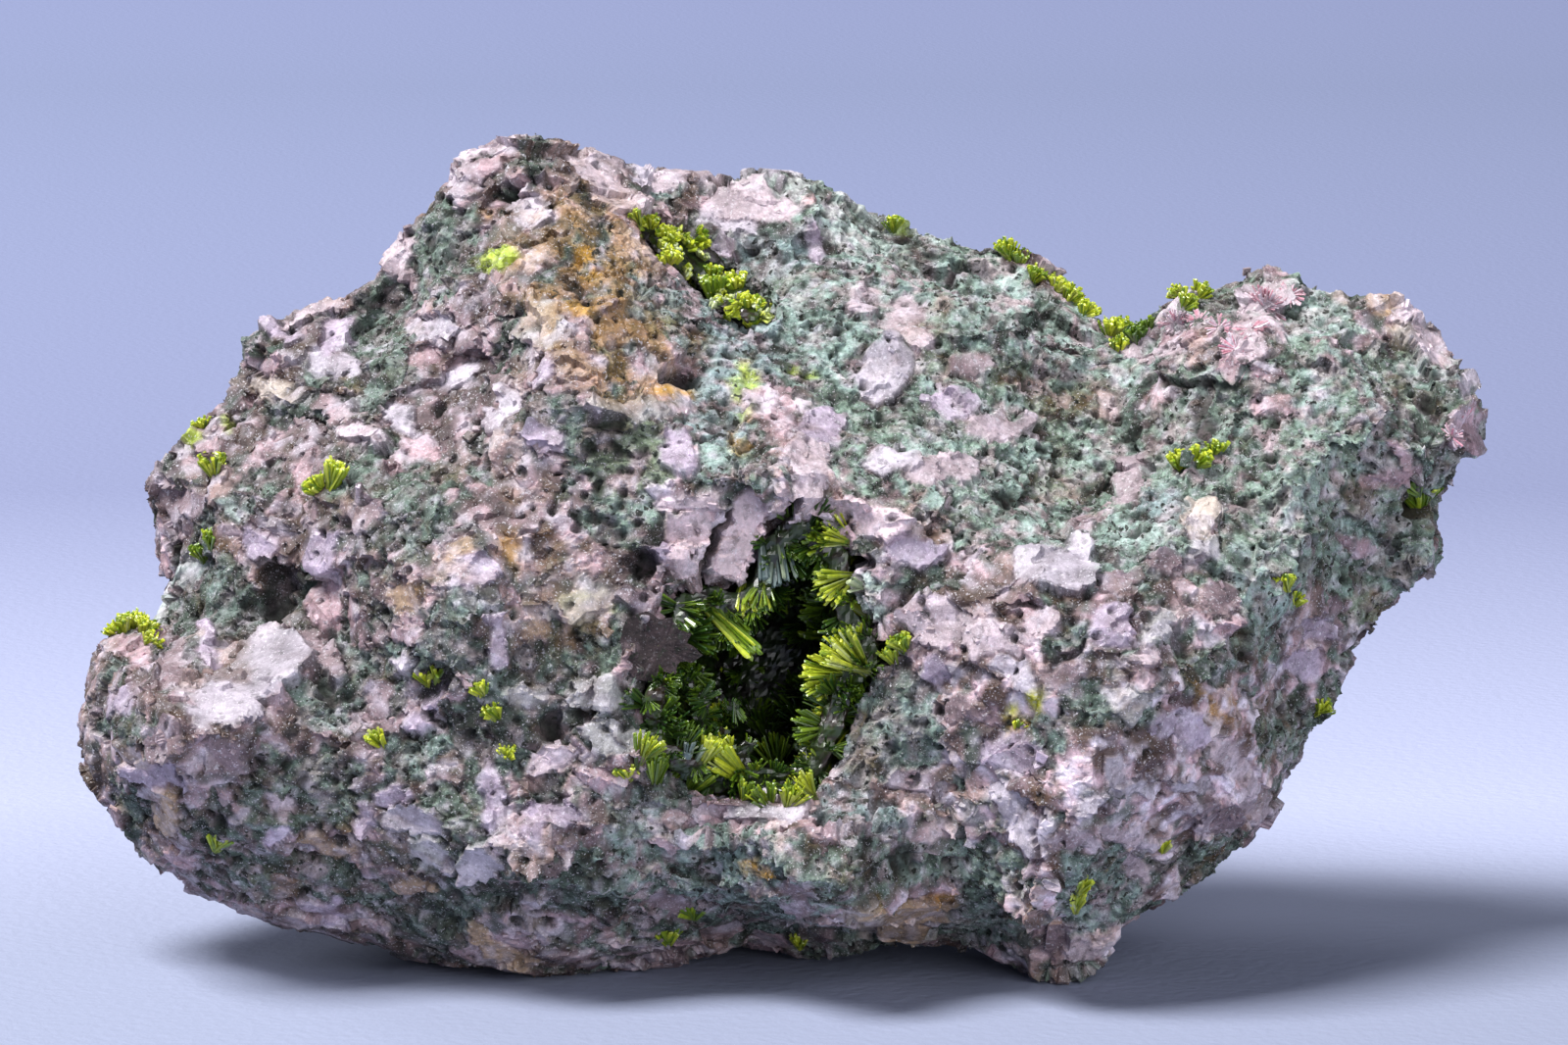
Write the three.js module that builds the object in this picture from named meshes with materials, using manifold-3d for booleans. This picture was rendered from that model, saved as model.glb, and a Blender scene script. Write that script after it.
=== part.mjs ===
// A clinozoisite specimen: a broken lump of pink feldspar and grey-green chlorite, with a deep
// hollow in its front that yellow-green clinozoisite crystals line, and smaller groups of the
// same crystals in a pocket, in a saddle of the skyline, at the left tip and in a right-hand notch.
// Millimetres, +Z up, and the front of the lump faces -Y. The origin is on the surface that
// the lump rests on, under the middle of its box.
import * as THREE from "three";
import { mergeVertices } from "three/addons/utils/BufferGeometryUtils.js";
import Module from "manifold-3d";

const wasm = await Module();
wasm.setup();

// Driving dimensions
const ROCK_WIDTH = 80; // tip to tip, across the front
const FRONT_SWELL = 12.5; // of the lump's front, ahead of its rim
const BACK_SWELL = 18; // of its back, behind the rim
const FRONT_RISE = 3; // that the front goes on rising towards its middle
const HOLLOW_DEPTH = 13; // of the crystal-lined hollow
const SEAT_GAP = 0.32; // between the crystals and the rock that holds them
const CRUST_THICKNESS = 1.3;
const EYE_DISTANCE = 420; // from which the outline is seen
const EYE_ELEVATION = THREE.MathUtils.degToRad(9); // above the horizon
const EYE_TARGET = new THREE.Vector3(0.1, -0.45, 24.75); // the point looked at

// The outlines are traced on a picture of the lump, in its pixels: x to the right and y down.
const PICTURE_MIDDLE = [800, 533];
const LEFT_TIP_X = 77;
const RIGHT_TIP_X = 1519;
const MM_PER_PIXEL = ROCK_WIDTH / (RIGHT_TIP_X - LEFT_TIP_X);

// The skyline and base line, clockwise from the left tip
const RIM = [
  [77, 742], [85, 710], [88, 675], [103, 656], [123, 640], [161, 626], [166, 596], [155, 569],
  [146, 499], [148, 482], [169, 470], [203, 430], [226, 420], [250, 379], [251, 337], [272, 330],
  [300, 312], [324, 313], [344, 300], [382, 286], [396, 275], [402, 238], [425, 218], [448, 188],
  [463, 157], [489, 145], [520, 129], [551, 130], [583, 143], [607, 165], [634, 169], [679, 176],
  [710, 184], [744, 186], [796, 170], [844, 189], [858, 207], [910, 219], [945, 233], [991, 246],
  [1041, 250], [1069, 258], [1082, 269], [1093, 293], [1124, 325], [1146, 338], [1169, 322], [1201, 292],
  [1253, 289], [1269, 275], [1291, 265], [1314, 273], [1328, 286], [1339, 300], [1430, 302], [1433, 323],
  [1460, 336], [1476, 353], [1483, 369], [1515, 407], [1519, 426], [1515, 449], [1500, 458], [1487, 497],
  [1475, 506], [1471, 532], [1481, 557], [1481, 573], [1435, 594], [1406, 630], [1383, 675], [1341, 749],
  [1302, 809], [1285, 847], [1236, 889], [1201, 909], [1148, 942], [1127, 959], [1120, 977], [1095, 994],
  [1078, 996], [1064, 987], [1018, 969], [934, 966], [878, 975], [827, 981], [744, 957], [712, 981],
  [668, 988], [559, 984], [505, 986], [442, 978], [230, 927], [174, 891], [142, 871], [85, 803],
];
const RIM_HUB = [800, 600];

// How far the rim stands towards the eye (or away, if negative) at some of its points
const RIM_STAND = [
  [77, 742, 0], [155, 520, -3], [250, 379, -3], [396, 275, -3], [520, 129, -2], [607, 165, -6],
  [744, 186, -9], [858, 207, -9], [1041, 250, -8], [1146, 338, -5], [1291, 265, -5],
  [1433, 323, -3], [1519, 426, 0], [1475, 506, -2], [1435, 594, 1], [1341, 749, 2],
  [1236, 889, 2], [1127, 959, 3], [1078, 996, 3.4], [934, 966, 0], [744, 957, -1],
  [668, 988, 0.4], [505, 986, 0], [308, 946, 1], [142, 871, 2],
];

// The mouth of the big hollow
const MOUTH = [
  [668, 656], [684, 606], [716, 590], [758, 598], [780, 537], [813, 512], [842, 535], [868, 548],
  [878, 572], [872, 602], [888, 632], [904, 652], [903, 680], [878, 706], [868, 742], [850, 788],
  [835, 810], [806, 819], [770, 813], [736, 816], [709, 804], [680, 788], [656, 772], [648, 713],
];
const MOUTH_HUB = [775, 680];
const MOUTH_SINK = 1.2; // of a hollow's edge under the front
const MOUTH_REACH = 12; // that a hollow's cutter stands out beyond its edge
const WALL_STEEPNESS = 0.55; // 1 is a round bowl, and less has steeper walls
const SHARPEST_CORNER = 0.5; // cosine of half the turn at which a moved corner stops stretching

// The mouth of the small pocket above it
const POCKET = [
  [640, 216], [690, 232], [714, 246], [748, 272], [768, 286], [792, 308], [786, 330], [762, 336],
  [726, 316], [694, 284], [674, 272], [652, 246],
];
const POCKET_HUB = [716, 276];
const POCKET_DEPTH = 7.5;
const POCKET_CRUST = 0.8;

// Lumps of the front as seen: x, y, radius across, radius along, turn in degrees, height in mm
const LUMPS = [
  [590, 300, 110, 190, 12, 4.0], // ridge under the peak
  [800, 470, 200, 90, 20, 4.5], // its shoulder over the hollow
  [1050, 620, 170, 110, 32, 4.0], // the same ridge, to the right
  [1170, 760, 110, 120, 0, 3.5],
  [840, 905, 118, 78, 0, 5.5], // round lump under the hollow
  [1092, 940, 34, 62, 0, 3.0], // the foot
  [560, 900, 150, 60, 0, 2.0],
  [430, 560, 130, 90, 0, 2.0],
  [150, 770, 66, 70, 0, 2.5], // left lobe
  [240, 700, 84, 34, -30, 1.2], // the great white blade
  [1080, 575, 62, 30, 0, 1.3], // pale block of the right shoulder
  [330, 350, 60, 40, 0, 1.5],
  [1300, 330, 60, 60, 0, 2.0],
  [1450, 400, 60, 60, 0, 2.0],
  [1150, 490, 30, 40, 0, 1.0],
  [722, 935, 30, 60, 0, -5.0], // crevice beside the round lump
  [985, 925, 36, 60, 0, -3.0],
  [292, 610, 46, 36, 0, -2.4], // the brown pit
  [390, 690, 60, 40, 0, -1.6],
  [700, 225, 110, 50, 12, -3.5], // slope behind the peak
  [1250, 430, 200, 110, 10, -1.5], // the flat slab
  [1350, 640, 60, 60, 0, -1.2],
  [560, 660, 90, 50, 0, -1.2],
  [960, 800, 70, 46, 0, -2.0],
];

// Where the lump touches the surface it rests on: x, y, flat radius, outer radius
const REST_PADS = [
  [-13.2, -2.8, 4.4, 9.0],
  [15.4, -7.5, 1.7, 4.0],
  [-1.0, 9.5, 3.0, 8.0],
];
const PAD_REACH = 7; // height up to which a pad pulls the underside down

// Broken faces of the back and underside: a direction in the lump's own axes, and its distance
const BREAKS = [
  [[0.15, 1, 0.1], 18.5],
  [[0.75, 0.85, -0.1], 27],
  [[-0.8, 0.8, 0.15], 28],
  [[-0.2, 0.75, 0.9], 22.5],
  [[0.5, 0.65, 0.8], 23],
  [[0.1, 0.7, -0.8], 23],
  [[-0.75, 0.3, -0.7], 26],
  [[0.75, 0.2, -0.75], 24],
  [[-0.35, -0.6, -0.95], 24.5],
];

const CHIPS = 190; // small flat breaks all over
const CHIP_DEPTH = [0.3, 1.0];
const CHIP_REACH = 7.5;
const CHIP_MOST = 1.5; // that a chip moves the surface

const EYE_SIDE = new THREE.Vector3(1, 0, 0);
const EYE_UP = new THREE.Vector3(0, Math.sin(EYE_ELEVATION), Math.cos(EYE_ELEVATION));
const TO_EYE = new THREE.Vector3(0, -Math.cos(EYE_ELEVATION), Math.sin(EYE_ELEVATION));

// Seeded random numbers, so that the specimen is the same each time
function randomFrom(seed) {
  let state = seed;
  return () => {
    state = (Math.imul(state, 1664525) + 1013904223) >>> 0;
    return state / 4294967296;
  };
}

// The point that shows at a pixel of the picture, at a height towards the eye
function seen([x, y], height) {
  const spread = MM_PER_PIXEL * (1 - height / EYE_DISTANCE);
  return EYE_TARGET.clone()
    .addScaledVector(EYE_SIDE, (x - PICTURE_MIDDLE[0]) * spread)
    .addScaledVector(EYE_UP, (PICTURE_MIDDLE[1] - y) * spread)
    .addScaledVector(TO_EYE, height);
}

const smoothstep = THREE.MathUtils.smoothstep;

// Smooth noise from -1 to 1: random values on a lattice, eased between
function latticeValue(i, j, k) {
  let h = Math.imul(i, 374761393) ^ Math.imul(j, 668265263) ^ Math.imul(k, 2147483647);
  h = Math.imul(h ^ (h >>> 13), 1274126177);
  return (((h ^ (h >>> 16)) >>> 0) / 4294967295) * 2 - 1;
}

function noise(x, y, z) {
  const [i, j, k] = [Math.floor(x), Math.floor(y), Math.floor(z)];
  const [a, b, c] = [x - i, y - j, z - k].map((t) => t * t * (3 - 2 * t));
  const mix = THREE.MathUtils.lerp;
  const row = (dj, dk) =>
    mix(latticeValue(i, j + dj, k + dk), latticeValue(i + 1, j + dj, k + dk), a);
  return mix(mix(row(0, 0), row(1, 0), b), mix(row(0, 1), row(1, 1), b), c);
}

// A place on a closed outline, where whole values of t are its own points
function along(outline, t) {
  const i = Math.floor(t);
  const [p, q] = [outline[i % outline.length], outline[(i + 1) % outline.length]];
  return p.map((value, axis) => value + (q[axis] - value) * (t - i));
}

// The same outline with its small steps evened out
function softened(outline, reach) {
  return outline.map((_, i) => {
    const sum = [0, 0];
    for (let k = -reach; k <= reach; k++) {
      const p = outline[(i + k + outline.length) % outline.length];
      sum[0] += p[0];
      sum[1] += p[1];
    }
    return sum.map((s) => s / (2 * reach + 1));
  });
}

// A body whose outline is given, drawn over an octahedral sphere: its equator runs through the
// outline's points. shape takes a place between hub and outline and gives [pixel, height].
function outlinedBody(outline, shape, lifts = []) {
  const steps = outline.length / 4;
  const sphere = new THREE.OctahedronGeometry(1, steps - 1);
  sphere.deleteAttribute("normal");
  sphere.deleteAttribute("uv");
  const body = mergeVertices(sphere, 1e-4);
  const position = body.getAttribute("position");
  const p = new THREE.Vector3();
  for (let i = 0; i < position.count; i++) {
    p.fromBufferAttribute(position, i);
    const around = Math.atan2(p.y, p.x);
    const quarter = Math.floor((around < -1e-9 ? around + 2 * Math.PI : around) / (Math.PI / 2) + 1e-6);
    // Octahedral coordinates: even steps from corner to corner, and from the equator to a pole
    const flat = Math.abs(p.x) + Math.abs(p.y);
    const lift = p.z / (flat + Math.abs(p.z));
    const share = flat < 1e-9 ? 0 : (quarter % 2 ? Math.abs(p.x) : Math.abs(p.y)) / flat;
    const t = (quarter + share) * steps;
    const [pixel, height] = shape(t % outline.length, lift);
    lifts.push(lift);
    p.copy(seen(pixel, height));
    position.setXYZ(i, p.x, p.y, p.z);
  }
  // The outlines run clockwise and the sphere anticlockwise, so the faces are turned round
  const corners = body.index.array;
  for (let i = 0; i < corners.length; i += 3) {
    [corners[i], corners[i + 1]] = [corners[i + 1], corners[i]];
  }
  return body;
}

function solidFrom(geometry) {
  const bare = geometry.clone();
  bare.deleteAttribute("normal");
  bare.deleteAttribute("uv");
  const merged = mergeVertices(bare, 1e-4);
  const made = new wasm.Manifold(
    new wasm.Mesh({
      numProp: 3,
      vertProperties: new Float32Array(merged.getAttribute("position").array),
      triVerts: new Uint32Array(merged.index.array),
    }),
  );
  return made;
}

function geometryFrom(solid) {
  const mesh = solid.getMesh();
  const geometry = new THREE.BufferGeometry();
  geometry.setAttribute("position", new THREE.BufferAttribute(mesh.vertProperties, 3));
  geometry.setIndex(new THREE.BufferAttribute(mesh.triVerts, 1));
  geometry.computeVertexNormals();
  return geometry;
}

const joined = (solids) => solids.reduce((all, one) => all.add(one));

const STAND_EVENING = 70; // pixels

// How far the rim stands towards the eye, evened between the points that state it
function rimStand([x, y]) {
  let sum = 0;
  let weight = 0;
  for (const [sx, sy, stand] of RIM_STAND) {
    const near = 1 / (1 + ((x - sx) ** 2 + (y - sy) ** 2) / STAND_EVENING ** 2) ** 2;
    sum += near * stand;
    weight += near;
  }
  return sum / weight;
}

// The height of the front's lumps and dips at a pixel
function lumpHeight([x, y]) {
  let height = 0;
  for (const [lx, ly, across, up, turn, top] of LUMPS) {
    const angle = THREE.MathUtils.degToRad(turn);
    const dx = x - lx;
    const dy = y - ly;
    const a = (dx * Math.cos(angle) + dy * Math.sin(angle)) / across;
    const b = (dy * Math.cos(angle) - dx * Math.sin(angle)) / up;
    const away = a * a + b * b;
    height += top * Math.exp(-0.9 * away * away - 0.4 * away);
  }
  return height;
}

// The distance in pixels from a place to the rim
function rimDistance([x, y]) {
  let least = Infinity;
  for (const [i, [ax, ay]] of RIM.entries()) {
    const [bx, by] = RIM[(i + 1) % RIM.length];
    const long = (bx - ax) ** 2 + (by - ay) ** 2;
    const t = THREE.MathUtils.clamp(((x - ax) * (bx - ax) + (y - ay) * (by - ay)) / long, 0, 1);
    least = Math.min(least, Math.hypot(x - ax - t * (bx - ax), y - ay - t * (by - ay)));
  }
  return least;
}

// A quarter round: steep at 0 and level from 1
const quarterRound = (u) => Math.sqrt(1 - (1 - Math.min(1, u)) ** 2);

// The front slopes back slowly to the skyline and drops steeply to the base
const FRONT_RUN = [330, 130]; // pixels in from the rim, at the skyline and at the base
const BACK_RUN = 330;

function frontSurface(pixel) {
  const inside = rimDistance(pixel);
  const run = THREE.MathUtils.lerp(...FRONT_RUN, smoothstep(pixel[1], 300, 860));
  const rough = 1.3 * noise(pixel[0] / 110, pixel[1] / 110, 0) + 0.8 * noise(pixel[0] / 48, pixel[1] / 48, 5);
  const settled = Math.min(1, inside / 60);
  return (
    rimStand(pixel) +
    FRONT_SWELL * quarterRound(inside / run) +
    FRONT_RISE * smoothstep(inside, 60, 400) +
    (lumpHeight(pixel) + rough) * settled
  );
}

function backSurface(pixel) {
  const inside = rimDistance(pixel);
  const rough = 1.6 * noise(pixel[0] / 130, pixel[1] / 130, 40) + 0.8 * noise(pixel[0] / 52, pixel[1] / 52, 45);
  return rimStand(pixel) - BACK_SWELL * quarterRound(inside / BACK_RUN) + rough * Math.min(1, inside / 60);
}

const RING_EVENNESS = 0.74;
const softRim = softened(RIM, 3);
const softestRim = softened(RIM, 9);

// The lump's own surface: t runs round the rim, and lift from the far pole (-1) to the near (1)
function rockShape(t, lift) {
  const reach = Math.cos((Math.abs(lift) * Math.PI) / 2) ** RING_EVENNESS;
  const [sharp, soft, softest] = [RIM, softRim, softestRim].map((outline) => along(outline, t));
  const near = 1 - smoothstep(Math.abs(lift), 0.03, 0.25);
  const mid = 1 - smoothstep(Math.abs(lift), 0.2, 0.6);
  const pixel = sharp.map((value, axis) => {
    const inner = soft[axis] * mid + softest[axis] * (1 - mid);
    const edge = value * near + inner * (1 - near);
    return RIM_HUB[axis] + (edge - RIM_HUB[axis]) * reach;
  });
  if (lift === 0) return [pixel, rimStand(pixel)];
  return [pixel, lift > 0 ? frontSurface(pixel) : backSurface(pixel)];
}

// Moves points that lie past a plane back onto it, each by its own share
function breakFace(points, normal, distance, shares) {
  for (const [i, p] of points.entries()) {
    const past = p.dot(normal) - distance;
    if (past > 0) p.addScaledVector(normal, -past * shares[i]);
  }
}

// A small break at a place: flat near it, and fading out to its reach
function chipFace(points, normal, depth, shares, place) {
  const distance = place.dot(normal) - depth;
  for (const [i, p] of points.entries()) {
    const away = p.distanceTo(place);
    const past = p.dot(normal) - distance;
    if (away > CHIP_REACH || past < 0) continue;
    const fade = 1 - smoothstep(away, CHIP_REACH * 0.7, CHIP_REACH);
    p.addScaledVector(normal, -Math.min(past, CHIP_MOST) * shares[i] * fade);
  }
}

// Pulls the underside down to the resting surface at the pads, and lets nothing through it
function settle(point) {
  for (const [x, y, flat, outer] of REST_PADS) {
    const away = Math.hypot(point.x - x, point.y - y);
    const pull = (1 - smoothstep(away, flat, outer)) * (1 - smoothstep(point.z, PAD_REACH * 0.6, PAD_REACH));
    point.z *= 1 - pull;
  }
  if (point.z < 0.02) point.z = 0;
}

function rockBody() {
  const lifts = [];
  const body = outlinedBody(RIM, rockShape, lifts);
  const position = body.getAttribute("position");
  const points = lifts.map((_, i) => new THREE.Vector3().fromBufferAttribute(position, i));
  const shares = lifts.map((lift) => smoothstep(Math.abs(lift), 0.02, 0.14));
  const rim = RIM.map((pixel) => seen(pixel, rimStand(pixel)));
  const middle = new THREE.Vector3(0, EYE_TARGET.y, 22);
  for (const [direction, distance] of BREAKS) {
    const normal = new THREE.Vector3(...direction).normalize();
    const clear = Math.max(...rim.map((p) => p.dot(normal))) + 0.4;
    breakFace(points, normal, Math.max(distance + normal.dot(middle), clear), shares);
  }
  const random = randomFrom(20);
  const jitter = () => (random() - 0.5) * 0.8;
  for (let chip = 0; chip < CHIPS; chip++) {
    const place = points[Math.floor(random() * points.length)].clone();
    const normal = place.clone().sub(middle).multiply(new THREE.Vector3(0.35, 1.1, 0.9)).normalize();
    normal.add(new THREE.Vector3(jitter(), jitter(), jitter())).normalize();
    chipFace(points, normal, THREE.MathUtils.lerp(...CHIP_DEPTH, random()), shares, place);
  }
  for (const [i, p] of points.entries()) {
    settle(p);
    position.setXYZ(i, p.x, p.y, p.z);
  }
  return solidFrom(body);
}

// An outline moved inwards, square to itself, by a distance in pixels
function inset(outline, distance) {
  const count = outline.length;
  return outline.map(([x, y], i) => {
    const [before, after] = [outline[(i + count - 1) % count], outline[(i + 1) % count]];
    const into = new THREE.Vector2(x - before[0], y - before[1]).normalize();
    const out = new THREE.Vector2(after[0] - x, after[1] - y).normalize();
    const mean = into.clone().add(out).normalize();
    const step = distance / Math.max(SHARPEST_CORNER, mean.dot(out));
    return [x - mean.y * step, y + mean.x * step];
  });
}

// A cavity or the outside of what fills it. gap narrows it all round. Its edge follows the front
// at MOUTH_SINK under the surface, and it flares from there outwards.
function cavity(outline, hub, depth, gap, flare) {
  const floor = frontSurface(hub) - depth + gap;
  const edges = inset(outline, gap / MM_PER_PIXEL);
  return solidFrom(
    outlinedBody(outline, (t, lift) => {
      const level = frontSurface(along(outline, t)) - MOUTH_SINK;
      const inward = Math.cos((Math.abs(lift) * Math.PI) / 2);
      const outward = Math.sin((Math.abs(lift) * Math.PI) / 2);
      const wall = inward ** WALL_STEEPNESS * (lift > 0 ? 1 + flare * outward : 1);
      const pixel = along(edges, t).map((value, axis) => hub[axis] + (value - hub[axis]) * wall);
      return [pixel, lift > 0 ? level + MOUTH_REACH * outward : THREE.MathUtils.lerp(level, floor, outward)];
    }),
  );
}

// One crystal: a lozenge-sided prism that narrows to a blunt tip
function crystal(base, direction, length, radius, grow) {
  const prism = new THREE.CylinderGeometry(radius * 0.55 + grow, radius + grow, length + 2 * grow, 4, 1);
  prism.scale(1, 1, 0.7);
  prism.translate(0, length / 2, 0);
  const turn = new THREE.Quaternion().setFromUnitVectors(
    new THREE.Vector3(0, 1, 0),
    direction.clone().normalize(),
  );
  prism.applyQuaternion(turn);
  prism.translate(base.x, base.y, base.z);
  return solidFrom(prism);
}

// A fan of crystals from one root. lean is in the picture's plane plus a share towards the eye.
function fan(root, lean, length, spread, count, radius, random, grow = 0) {
  const axis = new THREE.Vector3()
    .addScaledVector(EYE_SIDE, lean[0])
    .addScaledVector(EYE_UP, lean[1])
    .addScaledVector(TO_EYE, lean[2])
    .normalize();
  const blades = [];
  for (let i = 0; i < count; i++) {
    const stray = new THREE.Vector3(random() - 0.5, random() - 0.5, random() - 0.5);
    const direction = axis.clone().addScaledVector(stray, spread * 2).normalize();
    const base = root.clone().addScaledVector(direction, -0.5);
    blades.push(crystal(base, direction, length * (0.7 + 0.5 * random()), radius, grow));
  }
  return blades;
}

// A small rounded root from which fans grow
function rootLump(place, radii, grow = 0) {
  const lump = new THREE.IcosahedronGeometry(1, 0);
  lump.scale(radii[0] + grow, radii[1] + grow, radii[2] + grow);
  lump.translate(place.x, place.y, place.z);
  return solidFrom(lump);
}

// Fans in the big hollow: x, y, depth under the front, lean right, up, eyewards, length, spread, count
const HOLLOW_FANS = [
  [868, 566, 2.6, -0.75, 0.15, 0.6, 3.2, 0.5, 4], // top right fan
  [878, 622, 2.6, -0.75, 0.6, 0.5, 2.8, 0.2, 2],
  [872, 672, 3.0, -0.5, 0.45, 0.7, 3.0, 0.5, 4], // right fan
  [872, 712, 3.4, -0.85, 0.1, 0.5, 2.8, 0.5, 3],
  [868, 738, 3.4, -0.8, -0.1, 0.6, 2.6, 0.5, 3],
  [845, 786, 3.4, -0.75, 0.45, 0.5, 2.6, 0.5, 3], // lower right
  [815, 812, 3.4, 0.1, 0.8, 0.6, 2.8, 0.45, 3],
  [785, 812, 3.4, -0.2, 0.8, 0.6, 2.4, 0.45, 3],
  [745, 800, 4.2, 0.1, 0.75, 0.65, 3.6, 0.35, 4], // bright bundle at the bottom
  [716, 796, 4.2, -0.1, 0.7, 0.7, 3.0, 0.35, 3],
  [664, 772, 3.0, 0.25, 0.6, 0.75, 2.6, 0.35, 3],
  [714, 612, 4.0, 0.55, -0.55, 0.6, 5.2, 0.16, 3], // the big prism bundle
  [757, 604, 3.6, 0.05, -0.8, 0.5, 2.4, 0.3, 3],
  [686, 700, 4.6, 0.7, 0.1, 0.7, 3.4, 0.5, 4],
  [700, 740, 5.2, 0.6, 0.25, 0.75, 3.6, 0.45, 4],
];

const CRYSTAL_RADIUS = 0.5;
const FINE_RADIUS = 0.34; // of the smaller crystals
const LINK_RADIUS = 0.8; // of what joins the roots of a group
const CUTTER_FLARE = 0.1; // of a hollow, outwards from its edge
const CRUST_FLARE = 0.6;
const CRUST_SETBACK = 0.8;
// A crust that lines a cavity, thinning out to nothing at its mouth, with fans that grow from it.
// It is set back from the lump's own surface and kept off the walls.
function crust(outline, hub, depth, thickness, fans, lump) {
  const outer = cavity(outline, hub, depth, SEAT_GAP, 0);
  const inner = cavity(outline, hub, depth, SEAT_GAP + thickness, CRUST_FLARE);
  const setBack = TO_EYE.clone().multiplyScalar(-CRUST_SETBACK);
  return joined([outer.subtract(inner), ...fans])
    .intersect(outer)
    .intersect(lump.translate(setBack.toArray()));
}

function hollowFans() {
  const random = randomFrom(7);
  return HOLLOW_FANS.flatMap(([x, y, depth, side, up, eye, length, spread, count]) => {
    const root = seen([x, y], frontSurface([x, y]) - depth);
    return fan(root, [side, up, eye], length, spread, count, CRYSTAL_RADIUS, random);
  });
}

function pocketFans() {
  const random = randomFrom(31);
  return POCKET.flatMap(([x, y]) => {
    const root = seen([x, y], frontSurface([x, y]) - 2);
    const inwards = [(POCKET_HUB[0] - x) / 60, (y - POCKET_HUB[1]) / 60, 1.4];
    return fan(root, inwards, 1.9, 0.45, 2, FINE_RADIUS, random);
  });
}

// Groups on the outside: roots and their fans. A root is x, y, depth; radii; lean; length, count
const OUTER_GROUPS = {
  saddle_crystals: [
    [[1044, 266, 0.3], [1.3, 0.9, 0.8], [-0.2, 0.9, 0.3], 1.3, 2],
    [[1072, 290, 0.3], [1.5, 0.9, 0.9], [0.3, 0.9, 0.3], 1.2, 2],
    [[1102, 318, 0.3], [1.5, 0.9, 0.9], [0.4, 0.9, 0.2], 1.2, 2],
    [[1132, 342, 0.3], [1.3, 0.9, 0.9], [-0.1, 0.9, 0.4], 1.6, 3],
    [[1164, 341, 0.3], [1.2, 0.9, 0.9], [-0.4, 0.8, 0.5], 1.2, 2],
  ],
  left_tip_crystals: [
    [[128, 650, 0.3], [1.3, 1.2, 0.9], [-0.3, 0.9, 0.5], 1.4, 4],
    [[150, 643, 0.3], [1.1, 1.1, 0.9], [0.2, 0.9, 0.5], 1.2, 3],
  ],
  right_notch_crystals: [[[1450, 512, 0.3], [0.9, 1.1, 1.2], [-0.1, 0.5, 0.9], 1.7, 4]],
};

// Each root is joined to the one before it by a short prism, so that a group is one body
function outerGroup(roots, random, grow = 0) {
  const parts = [];
  let last = null;
  for (const [[x, y, depth], radii, lean, length, count] of roots) {
    const place = seen([x, y], frontSurface([x, y]) - depth);
    parts.push(rootLump(place, radii, grow));
    parts.push(...fan(place, lean, length + 0.8, 0.4, count, FINE_RADIUS, random, grow));
    if (last) {
      const step = place.clone().sub(last);
      parts.push(crystal(last, step, step.length(), LINK_RADIUS, grow));
    }
    last = place;
  }
  return joined(parts);
}

// Small tufts that are fused to the lump: x, y, lean, length, count
const TUFTS = [
  [[216, 470], [-0.2, 0.6, 0.7], 1.2, 2],
  [[334, 492], [-0.3, 0.7, 0.7], 1.6, 3],
  [[226, 852], [-0.2, 0.3, 0.9], 1.2, 2],
  [[1214, 470], [-0.3, 0.4, 0.8], 1.2, 2],
  [[1098, 914], [0.1, 0.6, 0.8], 1.2, 2],
];

function largestBody(solid) {
  return solid.decompose().reduce((most, one) => (one.volume() > most.volume() ? one : most));
}

function build() {
  const lump = rockBody();
  const solids = {
    hollow_crystals: largestBody(
      crust(MOUTH, MOUTH_HUB, HOLLOW_DEPTH, CRUST_THICKNESS, hollowFans(), lump),
    ),
    pocket_crystals: largestBody(
      crust(POCKET, POCKET_HUB, POCKET_DEPTH, POCKET_CRUST, pocketFans(), lump),
    ),
  };
  const random = randomFrom(5);
  const tufts = TUFTS.flatMap(([pixel, lean, length, count]) => {
    const root = seen(pixel, frontSurface(pixel) - 0.7);
    return fan(root, lean, length, 0.4, count, FINE_RADIUS, random);
  });
  let rock = joined([lump, ...tufts])
    .subtract(cavity(MOUTH, MOUTH_HUB, HOLLOW_DEPTH, 0, CUTTER_FLARE))
    .subtract(cavity(POCKET, POCKET_HUB, POCKET_DEPTH, 0, CUTTER_FLARE));
  for (const [name, roots] of Object.entries(OUTER_GROUPS)) {
    solids[name] = outerGroup(roots, randomFrom(11));
    rock = rock.subtract(outerGroup(roots, randomFrom(11), SEAT_GAP));
  }
  solids.matrix_rock = largestBody(rock);
  return solids;
}

const ROCK_LOOK = new THREE.MeshStandardMaterial({ color: 0x9d9095, roughness: 0.85 });
const CRYSTAL_LOOK = new THREE.MeshStandardMaterial({ color: 0x7f9a1c, roughness: 0.25 });

const specimen = new THREE.Group();
for (const [name, solid] of Object.entries(build())) {
  const look = name === "matrix_rock" ? ROCK_LOOK : CRYSTAL_LOOK;
  const mesh = new THREE.Mesh(geometryFrom(solid), look);
  mesh.name = name;
  specimen.add(mesh);
}

export default specimen;
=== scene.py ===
import math

import bpy
import numpy as np
from mathutils import Matrix, Vector
from mathutils.bvhtree import BVHTree


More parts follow.
